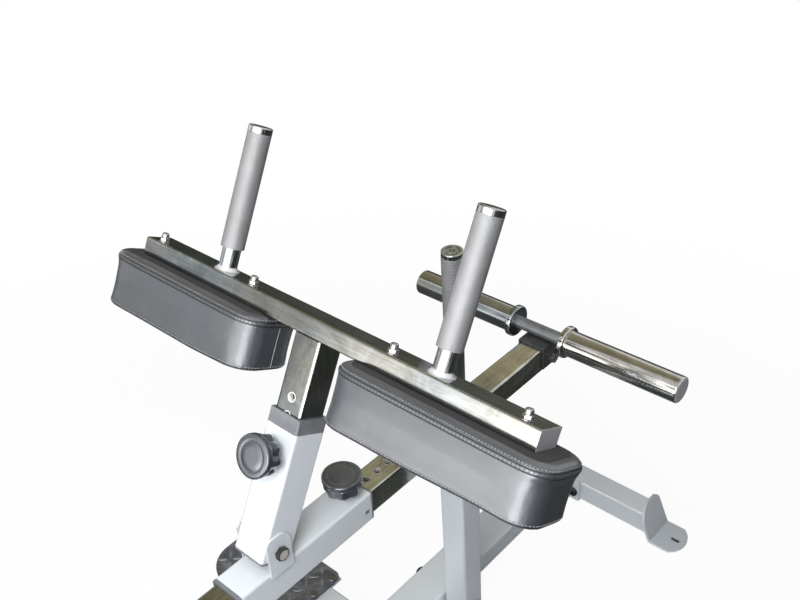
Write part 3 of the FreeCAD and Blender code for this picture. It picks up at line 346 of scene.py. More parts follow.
def vinyl(name, bands=()):
    """Charcoal upholstery vinyl. Bands are the heights of the pads' sewn grooves in the upright's frame; the grooves
    are dented and painted near black as shade in them.
    """
    look = Look(name)
    cells = look.node("TexVoronoi", {"Vector": look.where, "Scale": 1050.0}, feature="DISTANCE_TO_EDGE")
    grain = look.span(cells.outputs["Distance"], 0.0, 1.0, 0.0, 0.12)
    broad = look.noise(14.0, 4, 0.55)
    tone = look.ramp(broad, [(0.3, (0.025, 0.029, 0.036)), (0.7, (0.038, 0.043, 0.051))])
    tone = look.mix(0.25, tone, look.ramp(grain, [(0.1, (0.018, 0.019, 0.022)), (0.7, (0.046, 0.048, 0.053))]))
    height = look.math("MULTIPLY", grain, 0.40)
    crease = look.noise(1.0, 4, 0.55, look.mapped((24.0, 30.0, 13.0)), 0.7)
    height = look.math("MULTIPLY_ADD", crease, 9.5, height)
    height = look.math("MULTIPLY_ADD", look.noise(75.0, 3, 0.55, None, 0.6), 2.4, height)
    if bands:
        x, _, z = split(look, look.upright())
        groove_and_shade = None
        for band in bands:
            far = look.math("ABSOLUTE", look.math("SUBTRACT", z, band))
            line = look.span(far, 1.0, 0.0, 0.0007, 0.0014)
            groove_and_shade = line if groove_and_shade is None else look.math("MAXIMUM", groove_and_shade, line)
        # Painted shade: the sewn grooves are coloured near black, as the shade that falls in them.
        tone = look.mix(look.math("MULTIPLY", groove_and_shade, 0.85), tone, (0.006, 0.006, 0.007))
        off = look.math("ABSOLUTE", look.math("SUBTRACT", look.math("ABSOLUTE", x), PAD_MIDDLE))
        ends = look.span(off, 0.0, 1.0, 0.10, 0.15)
        pucker = look.noise(1.0, 3, 0.5, look.mapped((52.0, 52.0, 40.0)), 0.5)
        height = look.math("MULTIPLY_ADD", pucker, look.math("MULTIPLY_ADD", ends, 10.0, 2.0), height)
        height = look.math("SUBTRACT", height, look.math("MULTIPLY", groove_and_shade, 3.0))
    look.set(Base_Color=tone, Roughness=look.span(look.noise(16.0, 4, 0.6), 0.28, 0.50), Specular_IOR_Level=1.0,
             Normal=look.bump(height, 0.28, 0.0004))
    look.set(Coat_Weight=1.0, Coat_Roughness=0.24)
    return look.material


def thread(name, low, high):
    look = Look(name)
    twist = look.math("SINE", look.math("MULTIPLY", look.noise(400.0, 2), 40.0))
    colour = look.ramp(look.span(twist, 0.0, 1.0, -1.0, 1.0), [(0.1, low), (0.9, high)])
    look.set(Base_Color=colour, Roughness=look.span(twist, 0.5, 0.7, -1.0, 1.0), Normal=look.bump(twist, 0.2, 0.0002))
    return look.material


def threaded_zinc():
    """Zinc plate with a screw thread's ridges along the leaning studs, darker in the valleys between them as painted
    shade.
    """
    look = Look("zinc_studs")
    height = split(look, look.upright())[2]
    ridge = look.math("SINE", look.math("MULTIPLY", height, 2 * math.pi / 0.00125))
    patch = look.noise(120.0, 4, 0.6)
    plate = look.ramp(patch, [(0.3, (0.34, 0.34, 0.34)), (0.7, (0.52, 0.52, 0.51))])
    # Painted shade: darker in the thread's valleys, lighter on its crests.
    colour = look.mix(0.3, plate, look.ramp(look.span(ridge, 0.0, 1.0, -1.0, 1.0),
                                            [(0.0, (0.28, 0.28, 0.28)), (1.0, (0.56, 0.56, 0.55))]))
    look.set(Base_Color=colour, Metallic=1.0, Roughness=look.span(patch, 0.18, 0.32),
             Normal=look.bump(ridge, 0.12, 0.0003, look.soft_edges(0.0004)))
    return look.material


PAINT = paint()
CHROME_X = chrome("chrome_across", 0)
BAR = chrome("chrome_crossbar", 0, 1.0, bar_ends, 0.0035)
HORN = chrome("chrome_horns", 0, 1.0, horn_bore)
CHROME_Y = chrome("chrome_lever", 1)
CHROME_Z = chrome("chrome_upright", 2, 1.15)
POST = chrome("chrome_post", 2, 0.70)
HANDLE = chrome("chrome_handles", 2, 1.15, flares)
BRACKET = metal("dark_bracket_steel", (0.075, 0.08, 0.08), (0.16, 0.165, 0.165), 0.36, (40.0, 40.0, 260.0), 0.7)
SHAFT = metal("dark_shaft_steel", (0.15, 0.16, 0.165), (0.26, 0.27, 0.275), 0.42, (30.0, 160.0, 160.0), 0.6)
UPRIGHT_BOLT = metal("bolt_with_dark_rim", (0.05, 0.047, 0.043), (0.12, 0.115, 0.105), 0.30, (200.0, 200.0, 200.0),
                     1.0, bolt_face)
PLATE_SCREW = metal("plate_screw_steel", (0.10, 0.10, 0.10), (0.24, 0.24, 0.24), 0.26, (200.0, 200.0, 200.0))
# The low colours paint shade into the knurls' valleys.
GRIP_RIGHT, GRIP_LEFT = [knurl("knurled_grip_" + hand, (x, BOLT[1], BOLT[2]), -LEAN, 0.018, 0.0021,
                               (0.17, 0.17, 0.172), (0.33, 0.33, 0.333), 0.5, 0.50)
                         for hand, x in (("right", HANDLE_X), ("left", -HANDLE_X))]
CATCH_GRIP = knurl("ribbed_catch_grip", (0.064, 0.28, 0.024), math.radians(1.5), 0.0168, 0.0024,
                   (0.10, 0.10, 0.105), (0.30, 0.30, 0.31), 0.35, 0.45, rings=0.0026)
KNOB = plastic("black_knob_gloss", (0.020, 0.023, 0.031), (0.040, 0.045, 0.058), 0.27, 0.05, 500.0, 0.9)
BUSH = plastic("grey_bush_plastic", (0.115, 0.118, 0.128), (0.165, 0.168, 0.178), 0.42)
# Black cap plastic, also used for the painted shadow sheets under the foot bracket slots.
CAP_AND_SLOT_SHADE = plastic("black_cap_plastic_and_slot_shade", (0.022, 0.022, 0.024), (0.042, 0.042, 0.045), 0.48)
ZINC = metal("zinc_plate", (0.50, 0.50, 0.49), (0.78, 0.78, 0.76), 0.26, (90.0, 90.0, 300.0))
BLACK_BOLT = metal("black_oxide", (0.018, 0.018, 0.02), (0.055, 0.055, 0.058), 0.36, (160.0, 160.0, 160.0), 0.7)
WELD = metal("brushed_weld", (0.40, 0.39, 0.38), (0.60, 0.59, 0.58), 0.42, (300.0, 300.0, 300.0), 0.6)
PLATE = scuffed_steel()
TREAD = metal("worn_tread_steel", (0.13, 0.135, 0.145), (0.33, 0.335, 0.35), 0.42, (60.0, 60.0, 60.0), 0.6)
COLLAR = metal("rolled_hole_collars", (0.34, 0.33, 0.30), (0.48, 0.47, 0.43), 0.45, (80.0, 80.0, 80.0), 0.25)
# Painted highlight: near-white rims and linings for the post holes, standing in for the bright edge of the holes.
HOLE_RIM_HIGHLIGHT = metal("painted_highlight_hole_rims", (0.62, 0.60, 0.54), (0.82, 0.80, 0.74), 0.45, (80.0, 80.0, 80.0), 0.2)
BOARD = cloth_board()
THREAD = thread("grey_thread", (0.17, 0.17, 0.18), (0.36, 0.36, 0.37))
# Painted shade: near-black cords that lie in the pads' sewn grooves and bottom seam as their shadow lines.
SEAM_SHADE = thread("painted_seam_shade", (0.004, 0.004, 0.005), (0.014, 0.014, 0.016))
DARK_THREAD = thread("dark_thread", (0.02, 0.02, 0.022), (0.06, 0.06, 0.064))
STUD = threaded_zinc()
PAD_BANDS = (BAR_BOTTOM - 0.0083, BAR_BOTTOM - 0.0143)
PAD_VINYL = vinyl("charcoal_vinyl_pads", PAD_BANDS)
SEAT_VINYL = vinyl("charcoal_vinyl_seat")
PIPING = vinyl("charcoal_vinyl_piping")

finishes = {"silver_paint": PAINT, "chrome": CHROME_X, "black_knob": KNOB, "grey_bush": BUSH, "black_cap": CAP_AND_SLOT_SHADE,
            "zinc": ZINC, "black_bolt": BLACK_BOLT, "dark_steel": PLATE, "plywood": BOARD,
            "charcoal_vinyl": PAD_VINYL, "dark_grip": CATCH_GRIP, "knurled_grip": GRIP_RIGHT}
own = {"lever_tube": CHROME_Y, "post_tube": POST, "horn_bracket": BRACKET, "weight_shaft": SHAFT, "crossbar": BAR,
       "weight_sleeve_left": HORN, "weight_sleeve_right": HORN, "upright_bolt": UPRIGHT_BOLT,
       "foot_plate_screws": PLATE_SCREW, "handle_left": HANDLE, "handle_right": HANDLE,
       "catch_handle": CHROME_Z, "catch_cap": CHROME_Z, "handle_caps": CHROME_Z, "pin_housings": CHROME_Z,
       "grip_left": GRIP_LEFT, "grip_right": GRIP_RIGHT}
for entry in frame["record"]["subparts"]:
    node = nodes[entry["node"]]
    for place in node.material_slots:
        place.material = own.get(entry["node"], finishes[entry["material_slot"]])


# Mesh code

def add_object(name, data):
    made = bpy.data.objects.new(name, data)
    bpy.context.scene.collection.objects.link(made)
    return made


def new_piece(name, mesh, material, body, smooth=True):
    piece = add_object(name, mesh)
    mesh.materials.clear()
    mesh.materials.append(material)
    if smooth:
        for polygon in mesh.polygons:
            polygon.use_smooth = True
    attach(piece, body)
    return piece


def mesh_from(verts, faces, name, matrix=None):
    mesh = bpy.data.meshes.new(name)
    mesh.from_pydata([tuple(v) for v in verts], [], faces)
    if matrix is not None:
        mesh.transform(matrix)
    mesh.validate()
    mesh.update()
    return mesh


def loop_faces(rings, count, close_start=True, close_end=True):
    faces = []
    for ring in range(rings - 1):
        for index in range(count):
            after = (index + 1) % count
            low, high = ring * count, (ring + 1) * count
            faces.append((low + index, low + after, high + after, high + index))
    if close_start:
        faces.append(tuple(reversed(range(count))))
    if close_end:
        faces.append(tuple((rings - 1) * count + index for index in range(count)))
    return faces


def rounded_outline(half_x, half_y, corner, counts):
    """Points round a rectangle with round corners, with their outward directions.

    Counts are the steps along a side in x, along a side in y and round a corner, so that every outline matches.
    """
    along_x, along_y, turn = counts
    straight_x = half_x - corner
    straight_y = half_y - corner
    points = []
    for cx, cy, start, steps, run in ((straight_x, straight_y, 0, along_x, (-2 * straight_x, 0)),
                                      (-straight_x, straight_y, 90, along_y, (0, -2 * straight_y)),
                                      (-straight_x, -straight_y, 180, along_x, (2 * straight_x, 0)),
                                      (straight_x, -straight_y, 270, along_y, (0, 2 * straight_y))):
        centre = Vector((cx, cy, 0))
        for index in range(turn):
            angle = math.radians(start + 90 * index / turn)
            out = Vector((math.cos(angle), math.sin(angle), 0))
            points.append((centre + out * corner, out))
        out = Vector((math.cos(math.radians(start + 90)), math.sin(math.radians(start + 90)), 0))
        for index in range(steps):
            share = index / steps
            points.append((centre + out * corner + Vector((run[0] * share, run[1] * share, 0)), out))
    return points


def lathe(profile, count, wobble=None):
    """Vertices and faces of a turned piece along z.

    A profile's row is a radius, a height and, where wobble changes the radius round the piece, its share.
    """
    verts = []
    for radius, z, *share in profile:
        for index in range(count):
            angle = 2 * math.pi * index / count
            r = radius * (1 + (wobble(angle) - 1) * share[0] if share else 1)
            verts.append((r * math.cos(angle), r * math.sin(angle), z))
    return verts, loop_faces(len(profile), count)


def tube(points, radius, closed, count=8, bumps=None):
    """Vertices and faces of a round cord through points."""
    verts = []
    total = len(points)
    normal = None
    for index, point in enumerate(points):
        before = points[index - 1] if closed or index else point
        after = points[(index + 1) % total] if closed or index < total - 1 else point
        along = (after - before).normalized()
        if normal is None:
            normal = along.orthogonal().normalized()
        normal = (normal - along * normal.dot(along)).normalized()
        side = along.cross(normal)
        r = radius if bumps is None else radius * bumps(index)
        for turn in range(count):
            angle = 2 * math.pi * turn / count
            verts.append(point + (normal * math.cos(angle) + side * math.sin(angle)) * r)
    faces = loop_faces(total, count, not closed, not closed)
    if closed:
        last = (total - 1) * count
        for turn in range(count):
            after = (turn + 1) % count
            faces.append((last + turn, last + after, after, turn))
    return verts, faces


def joined(parts, name, matrix=None):
    verts, faces = [], []
    for part_verts, part_faces in parts:
        start = len(verts)
        verts.extend(part_verts)
        faces.extend(tuple(start + index for index in face) for face in part_faces)
    return mesh_from(verts, faces, name, matrix)


def stitch(place, along, out, length, width):
    """One raised stitch lying on a surface."""
    side = along.cross(out).normalized()
    rings = []
    for share, size in ((-0.5, 0.35), (-0.3, 0.95), (0.0, 1.0), (0.3, 0.95), (0.5, 0.35)):
        lift = width * (0.55 - 1.3 * abs(share) ** 2)
        centre = place + along * length * share + out * lift
        for turn in range(6):
            angle = 2 * math.pi * turn / 6
            rings.append(centre + (side * math.cos(angle) + out * math.sin(angle) * 0.8) * width * 0.5 * size)
    return rings, loop_faces(5, 6)


# Cushions

def section_block(outline_for, sections, name):
    """A closed block lofted through outlines at several heights."""
    verts = []
    count = None
    for z, inset in sections:
        outline = outline_for(inset)
        count = len(outline)
        verts.extend(Vector((p.x, p.y, z)) for p, _ in outline)
    return mesh_from(verts, loop_faces(len(sections), count), name)


def inflate(mesh, name, held, cap, firmness, pressure=4.0):
    """Swells a closed mesh with a cloth simulation; held says which points stay, cap is the furthest move.

    Firmness is how often the moves are evened out between neighbours.
    """
    piece = add_object(name, mesh)
    group = piece.vertex_groups.new(name="held")
    for vertex in mesh.vertices:
        weight = held(vertex.co)
        if weight > 0:
            group.add([vertex.index], weight, "REPLACE")
    cloth = piece.modifiers.new("Cloth", "CLOTH")
    cloth.settings.use_pressure = True
    cloth.settings.uniform_pressure_force = pressure
    cloth.settings.effector_weights.gravity = 0
    cloth.settings.vertex_group_mass = "held"
    cloth.settings.quality = 4
    cloth.settings.tension_stiffness = 18
    cloth.settings.compression_stiffness = 18
    cloth.settings.bending_stiffness = 0.6
    cloth.collision_settings.use_collision = False
    frames = 20
    cloth.point_cache.frame_start = 1
    cloth.point_cache.frame_end = frames
    scene = bpy.context.scene
    for number in range(1, frames + 1):
        scene.frame_set(number)
    evaluated = piece.evaluated_get(bpy.context.evaluated_depsgraph_get())
    swollen = [vertex.co.copy() for vertex in evaluated.data.vertices]
    piece.modifiers.remove(cloth)
    scene.frame_set(1)
    moves = [target - vertex.co for vertex, target in zip(mesh.vertices, swollen)]
    moves = [move * min(1.0, cap / max(move.length, 1e-9)) for move in moves]
    around = [[] for _ in mesh.vertices]
    for edge in mesh.edges:
        first, second = edge.vertices
        around[first].append(second)
        around[second].append(first)
    for _ in range(firmness):
        moves = [(move + sum((moves[other] for other in near), Vector())) / (len(near) + 1)
                 for move, near in zip(moves, around)]
    for vertex, move in zip(mesh.vertices, moves):
        vertex.co += move
    bpy.data.objects.remove(piece)


def remesh(mesh, size):
    piece = add_object("remeshing", mesh)
    modifier = piece.modifiers.new("Remesh", "REMESH")
    modifier.mode = "VOXEL"
    modifier.voxel_size = size
    modifier.use_smooth_shade = True
    evaluated = piece.evaluated_get(bpy.context.evaluated_depsgraph_get())
    made = bpy.data.meshes.new_from_object(evaluated)
    bpy.data.objects.remove(piece)
    return made


def smoothed(mesh, rounds, factor=0.5, keep=None):
    surface = bmesh.new()
    surface.from_mesh(mesh)
    verts = [v for v in surface.verts if keep is None or not keep(v.co)]
    for _ in range(rounds):
        bmesh.ops.smooth_vert(surface, verts=verts, factor=factor, use_axis_x=True, use_axis_y=True, use_axis_z=True)
    surface.to_mesh(mesh)
    surface.free()


def subdivided(mesh, name):
    piece = add_object(name, mesh)
    piece.modifiers.new("Subdivision", "SUBSURF").levels = 1
    made = bpy.data.meshes.new_from_object(piece.evaluated_get(bpy.context.evaluated_depsgraph_get()))
    bpy.data.objects.remove(piece)
    return made


def ray_tree(mesh):
    return BVHTree.FromPolygons([v.co for v in mesh.vertices], [p.vertices for p in mesh.polygons])


def side_path(mesh, outline, z, lift=0.0):
    """The places where level rays from outside meet a mesh, with the surface's outward directions.

    The rays' height z is a number or a function of the place along x.
    """
    tree = ray_tree(mesh)
    path = []
    for point, out in outline:
        height = z(point.x) if callable(z) else z
        start = Vector((point.x, point.y, height)) + out * 0.05
        hit, normal, _, _ = tree.ray_cast(start, -out)
        if hit is not None:
            path.append((hit + normal * lift, normal))
    return path


def stitches_along(path, pitch, length, width, across=False):
    """Stitches at an even pitch along a closed path on a surface."""
    parts = []
    total = len(path)
    carried = 0.0
    for index in range(total):
        here, normal = path[index]
        there, normal_next = path[(index + 1) % total]
        run = (there - here).length
        while carried < run:
            share = carried / run
            along = (there - here).normalized()
            out = normal.lerp(normal_next, share).normalized()
            direction = along.cross(out) if across else along
            parts.append(stitch(here.lerp(there, share), direction, out, length, width))
            carried += pitch
        carried -= run
    return parts


def fitted(mesh, low, high):
    """Stretches a mesh to fill a box, so that the swollen cushion ends where the CAD one does."""
    for axis in range(3):
        values = [vertex.co[axis] for vertex in mesh.vertices]
        least, most = min(values), max(values)
        scale = (high[axis] - low[axis]) / (most - least)
        for vertex in mesh.vertices:
            vertex.co[axis] = low[axis] + (vertex.co[axis] - least) * scale


def ribbon(path, half_height, half_thick, up):
    """A flat band laid round a closed path on a surface."""
    verts = []
    shape = ((-1.0, -0.5), (-1.0, 0.35), (-0.8, 0.85), (-0.3, 1.0), (0.3, 1.0), (0.8, 0.85), (1.0, 0.35), (1.0, -0.5))
    for point, normal in path:
        out = (normal - up * normal.dot(up)).normalized()
        for rise, lift in shape:
            verts.append(point + up * rise * half_height + out * lift * half_thick)
    total = len(path)
    count = len(shape)
    faces = []
    for index in range(total):
        here = index * count
        there = (index + 1) % total * count
        for turn in range(count):
            after = (turn + 1) % count
            faces.append((here + turn, here + after, there + after, there + turn))
    return verts, faces


def thigh_pad(side, name, node):
    """A firm foam pad in vinyl, made in the upright's frame with its top at z 0."""
    def outline_for(inset):
        return rounded_outline(PAD_HALF_LENGTH - inset, PAD_HALF_DEPTH - inset, 0.035 - inset * 0.6, (44, 8, 10))

    def step(value, low, high):
        share = min(1.0, max(0.0, (value - low) / (high - low)))
        return share * share * (3 - 2 * share)

    def hang(x):
        """How far the foam hangs below its edge, at a place along the pad."""
        share = (x / PAD_HALF_LENGTH + 1) / 2
        if side < 0:
            return 0.0132 - 0.0074 * step(share, 0.62, 1.08) - 0.0012 * (1 - step(share, 0.0, 0.25))
        return 0.0112 - 0.0072 * step(share, 0.28, 0.95)

    sections = [(-PAD_THICK + 0.0004, 0.0110), (-PAD_THICK + 0.0012, 0.0062), (-PAD_THICK + 0.0036, 0.0028),
                (-PAD_THICK + 0.0085, 0.0014), (-0.060, 0.0028), (-0.030, 0.0030), (-0.0170, 0.0028),
                (-0.0120, 0.0026), (-0.0080, 0.0028), (-0.0042, 0.0048), (-0.0016, 0.0082), (-0.0004, 0.0125)]
    mesh = section_block(outline_for, sections, name)
    mesh = remesh(mesh, 0.0042)
    inflate(mesh, name + "_rest", lambda co: 1.0 if co.z > -0.006 else 0.0, 0.0036, 45)
    smoothed(mesh, 2, 0.5, lambda co: co.z > -0.0035)
    fitted(mesh, (-PAD_HALF_LENGTH, -PAD_HALF_DEPTH, -PAD_THICK), (PAD_HALF_LENGTH, PAD_HALF_DEPTH, -0.0004))
    for vertex in mesh.vertices:
        co = vertex.co
        low = min(1.0, max(0.0, -co.z / PAD_THICK - 0.12))
        co.z += low * (0.0028 + co.y / PAD_HALF_DEPTH * 0.0026)
        if co.z < -PAD_EDGE:
            co.z = -PAD_EDGE - hang(co.x) + (co.z + PAD_EDGE) * 0.35
        elif co.z < -PAD_BELLY:
            co.z -= hang(co.x) * (-PAD_BELLY - co.z) / (PAD_EDGE - PAD_BELLY)
        co.x += side * 0.0022 * step(co.z, -0.024, -0.016) * step(side * co.x, 0.10, 0.16)
        if co.z < -0.018:
            fall = min(1.0, (-0.018 - co.z) / 0.012)
            uneven = noise.noise(Vector((co.x * 11 + side * 7, co.y * 14, co.z * 15)))
            co.xy *= 1 - 0.0035 * fall * (0.5 + 0.5 * uneven)
    mesh = subdivided(mesh, name)
    outline = outline_for(0.0)
    place = UPRIGHT @ Matrix.Translation((side * PAD_MIDDLE, PAD_SHIFT, BAR_BOTTOM))
    up = Vector((0, 0, 1))
    band = side_path(mesh, outline, -0.0113)
    upper = side_path(mesh, outline, -0.0055)
    lower = side_path(mesh, outline, lambda x: -PAD_EDGE + 0.0042 - hang(x))
    trim = [ribbon(band, 0.0024, 0.0007, up), end_seam(mesh, -side, -PAD_EDGE - hang(-side * PAD_HALF_LENGTH))]
    # Painted shade: thin near-black cords along the two sewn grooves and the bottom seam stand for the shadow lines
    # in them.
    seam_shade_lines = [tube([p for p, _ in side_path(mesh, outline, height, 0.0001)], 0.00052, True, 6)
             for height in (-0.0085, -0.0141, lambda x: -PAD_EDGE + 0.0016 - hang(x))]
    sewn = stitches_along(upper, 0.0046, 0.0025, 0.0011)
    sewn += stitches_along(lower, 0.0050, 0.0031, 0.0013)
    ticks = stitches_along([(p + n * 0.0005, n) for p, n in band], 0.0056, 0.0044, 0.0009, True)
    mesh.transform(place)
    pad = new_piece(name, mesh, PAD_VINYL, "pad_assembly")
    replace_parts(pad, node)
    for suffix, parts, material in (("_band", trim, PIPING), ("_stitches", sewn, THREAD), ("_seams", seam_shade_lines, SEAM_SHADE),
                                    ("_ticks", ticks, DARK_THREAD)):
        new_piece(name + suffix, joined(parts, name + suffix, place), material, "pad_assembly")


def end_seam(mesh, side, foot):
    """The upright piped seam in the middle of a pad's end."""
    tree = ray_tree(mesh)
    points = []
    top = -0.0155
    steps = 23
    for index in range(steps + 1):
        z = top + (foot - top) * index / steps
        hit, normal, _, _ = tree.ray_cast(Vector((side * 0.3, 0.004, z)), Vector((-side, 0, 0)))
        if hit is not None:
            points.append(hit - normal * 0.0002)
    return tube(points, 0.0012, False)


thigh_pad(-1, "thigh_pad_left", "pad_left")
thigh_pad(1, "thigh_pad_right", "pad_right")


def seat():
    """The crowned seat cushion, with piping round its top edge and its base."""
    low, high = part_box("seat_cushion")
    height = high.z - low.z

    half_x, half_y, floor_z = 0.165, 0.138, 0.0006

    def outline_for(inset):
        return rounded_outline(half_x - inset, half_y - inset, 0.06 - inset * 0.4, (30, 22, 14))

    sections = [(floor_z, 0.0075), (0.004, 0.0045), (0.016, 0.0035), (0.030, 0.004), (0.042, 0.007),
                (0.050, 0.014), (0.0555, 0.026), (0.0585, 0.045), (0.0600, 0.07)]
    mesh = section_block(outline_for, sections, "seat")
    mesh = remesh(mesh, 0.0055)
    inflate(mesh, "seat_rest", lambda co: 1.0 if co.z < 0.009 else 0.0, 0.0080, 20)
    smoothed(mesh, 3, 0.4, lambda co: co.z < 0.004)
    for vertex in mesh.vertices:
        co = vertex.co
        co.x = max(-half_x, min(half_x, co.x))
        co.y = max(-half_y, min(half_y, co.y))
        co.z = max(floor_z, min(height, co.z))
    mesh = subdivided(mesh, "seat")
    outline = outline_for(0.0)
    place = Matrix.Translation((0, SEAT_Y, low.z))
    top_cord = side_path(mesh, outline, 0.0425, -0.0003)
    low_cord = side_path(mesh, outline, 0.0065, -0.0004)
    trim = [tube([p for p, _ in top_cord], 0.0021, True), tube([p for p, _ in low_cord], 0.0018, True)]
    sewn = stitches_along(side_path(mesh, outline, 0.0375), 0.0052, 0.0034, 0.0010)
    sewn += stitches_along(side_path(mesh, outline, 0.0475), 0.0052, 0.0034, 0.0010)
    mesh.transform(place)
    cushion = new_piece("seat_pad", mesh, SEAT_VINYL, "base_frame")
    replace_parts(cushion, "seat_cushion")
    for name, parts, material in (("seat_pad_piping", trim, PIPING), ("seat_pad_stitches", sewn, THREAD)):
        new_piece(name, joined(parts, name, place), material, "base_frame")


seat()


# Knobs, bolts and small trim

def lobed_knob(name, matrix, body, node):
    def lobes(angle):
        phase = (angle * 8 / (2 * math.pi)) % 1.0
        ridge = abs(math.cos(math.pi * phase)) ** 1.6
        return 0.885 + 0.115 * ridge

    profile = [(0.0075, 0.0166), (0.0145, 0.0166), (0.0150, 0.0172), (0.0150, 0.0190), (0.0220, 0.0190, 0.3),
               (0.0272, 0.0172, 0.8), (0.0290, 0.0167, 1), (0.0301, 0.0174, 1), (0.0306, 0.0190, 1),
               (0.0308, 0.0250, 1), (0.0308, 0.0322, 1), (0.0305, 0.0333, 0.9), (0.0298, 0.0339, 0.4),
               (0.0298, 0.0345), (0.0310, 0.0347), (0.0318, 0.0353), (0.0321, 0.0364), (0.0321, 0.0415),
               (0.0316, 0.0431), (0.0305, 0.0442), (0.0290, 0.0447), (0.0255, 0.0449), (0.0222, 0.0449),
               (0.0218, 0.0447), (0.0213, 0.0446), (0.0208, 0.0447), (0.0204, 0.0449), (0.0120, 0.0450),
               (0.0040, 0.0450)]
    verts, faces = lathe(profile, 128, lobes)
    knob = new_piece(name, mesh_from(verts, faces, name, matrix), KNOB, body)
    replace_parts(knob, node)


lobed_knob("height_lobed_knob", UPRIGHT @ HEIGHT_PIN, "height_lock", "height_knob")
lobed_knob("carriage_lobed_knob", CARRIAGE_TOP, "carriage_lock", "carriage_knob")


def hexagon_nut(across, height, bore, z):
    """A hexagon nut with chamfered corners, from height z up."""
    verts = []
    corner = across / math.sqrt(3)
    flat = across / 2
    count = 48
    rings = ((bore, 0.0), (flat * 0.93, 0.0), (corner, height * 0.12), (corner, height * 0.88), (flat * 0.93, height),
             (bore, height))
    for radius, rise in rings:
        for index in range(count):
            angle = 2 * math.pi * index / count
            local = (angle + math.pi / 6) % (math.pi / 3) - math.pi / 6
            limit = flat / math.cos(local)
            r = min(radius, limit)
            verts.append(Vector((r * math.cos(angle), r * math.sin(angle), z + rise)))
    return verts, loop_faces(len(rings), count)


def pad_hardware():
    """The studs, washers and nuts that hold both pads to the crossbar."""
    washer_z = BAR_TOP + 0.0001
    nut_z = BAR_TOP + 0.0016
    top = BAR_TOP + 0.0148
    washer = lathe([(0.0042, washer_z), (0.0083, washer_z), (0.0085, BAR_TOP + 0.0004), (0.0085, BAR_TOP + 0.0013),
                    (0.0082, nut_z), (0.0042, nut_z)], 40)
    nut = hexagon_nut(0.013, 0.0056, 0.0038, nut_z)
    stud = lathe([(0.0038, BAR_BOTTOM - 0.0118), (0.0040, BAR_BOTTOM - 0.0114), (0.0040, BAR_TOP + 0.0060),
                  (0.0056, BAR_TOP + 0.0064), (0.0057, BAR_TOP + 0.0070), (0.0057, BAR_TOP + 0.0118),
                  (0.0055, BAR_TOP + 0.0129), (0.0050, BAR_TOP + 0.0138), (0.0041, BAR_TOP + 0.0144),
                  (0.0028, top - 0.0001), (0.0014, top), (0.0003, top)], 32)
    parts = []
    for x in (-0.342, -0.134, 0.134, 0.342):
        shift = Vector((x, -0.013, 0))
        parts.extend(([Vector(v) + shift for v in verts], faces) for verts, faces in (washer, nut, stud))
    name = "pad_studs_and_nuts"
    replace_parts(new_piece(name, joined(parts, name, UPRIGHT), STUD, "pad_assembly", False), "pad_bolts")


pad_hardware()


def hole_rims(name, places, body, material, lip):
    """The rolled rims of drilled holes: each place is a matrix with z out of the surface."""
    radius = HOLE_RADIUS
    verts, faces = lathe([(radius + 0.0013, -0.0100), (radius + 0.0001, -0.0100), (radius - 0.0001, -0.0090),
                          (radius - 0.0001, -0.0004), (radius + 0.0002, 0.0001), (radius + lip * 0.6, 0.00025),
                          (radius + lip, 0.0001), (radius + lip, -0.0002)], 40)
    open_faces = faces[:-2]
    parts = [([matrix @ Vector(v) for v in verts], open_faces) for matrix in places]
    new_piece(name, joined(parts, name), material, body)


# The post holes' near-white rims are a painted highlight on the rolled lips.
hole_rims("post_hole_rims", [UPRIGHT @ Matrix.Translation((0, -0.025, HEIGHT_PIN_Z + 0.028 * step)) @ FACE_OUT
                             for step in range(-1, 4)], "pad_assembly", HOLE_RIM_HIGHLIGHT, 0.0015)
hole_rims("lever_hole_rims", [Matrix.Translation((0, 0.06 + 0.026 * step, 0.431)) for step in range(-4, 5)],
          "weight_lever", COLLAR, 0.0009)


def lozenge(centre, along, half_length, half_width, rise):
    """One raised bar of tread plate, pointed at both ends."""
    side = Vector((-along.y, along.x, 0))
    steps = 9
    shares = [2 * index / steps - 1 for index in range(steps + 1)]
    rim = [(share, 1 - share * share) for share in shares] + [(share, share * share - 1) for share in shares[-2:0:-1]]
    verts = []
    for height, spread in ((-0.0003, 1.0), (0.0, 1.0), (rise * 0.55, 0.86), (rise * 0.9, 0.62), (rise, 0.36)):
        for share, bulge in rim:
            verts.append(centre + along * share * half_length * spread + side * bulge * half_width * spread
                         + Vector((0, 0, height)))
    return verts, loop_faces(5, len(rim))


def tread_bars():
    """The raised bars of both foot plates, turned by a right angle from one to the next."""
    parts = []
    half_length, half_width = 0.0105, 0.0028
    pitch = 0.021
    edge_room, screw_room, corner_radius = 0.011, 0.016, 0.052
    for node, outward in (("foot_plate_left", -1), ("foot_plate_right", 1)):
        low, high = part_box(node)
        near = low.x if outward > 0 else high.x
        length, depth = high.x - low.x, high.y - low.y
        screws = [Vector((0.009, 0.088, 0)), Vector((0.009, 0.136, 0)), Vector((length - 0.020, 0.088, 0))]
        big = Vector((length - 0.062, 0.062, 0))
        for column in range(1, 11):
            for row in range(1, 8):
                spot = Vector((column * pitch - 0.0035, row * pitch - 0.0075, 0))
                off_plate = spot.x > length - edge_room or spot.y > depth - edge_room
                at_screw = any((spot - screw).length < screw_room for screw in screws)
                past_corner = spot.x > big.x and spot.y < big.y and (spot - big).length > corner_radius
                if off_plate or at_screw or past_corner:
                    continue
                turn = 1 if (column + row) % 2 else -1
                along = Vector((outward, turn, 0)).normalized()
                centre = Vector((near + outward * spot.x, low.y + spot.y, high.z))
                parts.append(lozenge(centre, along, half_length, half_width, 0.0011))
    new_piece("foot_plate_tread", joined(parts, "foot_plate_tread"), TREAD, "base_frame")


tread_bars()


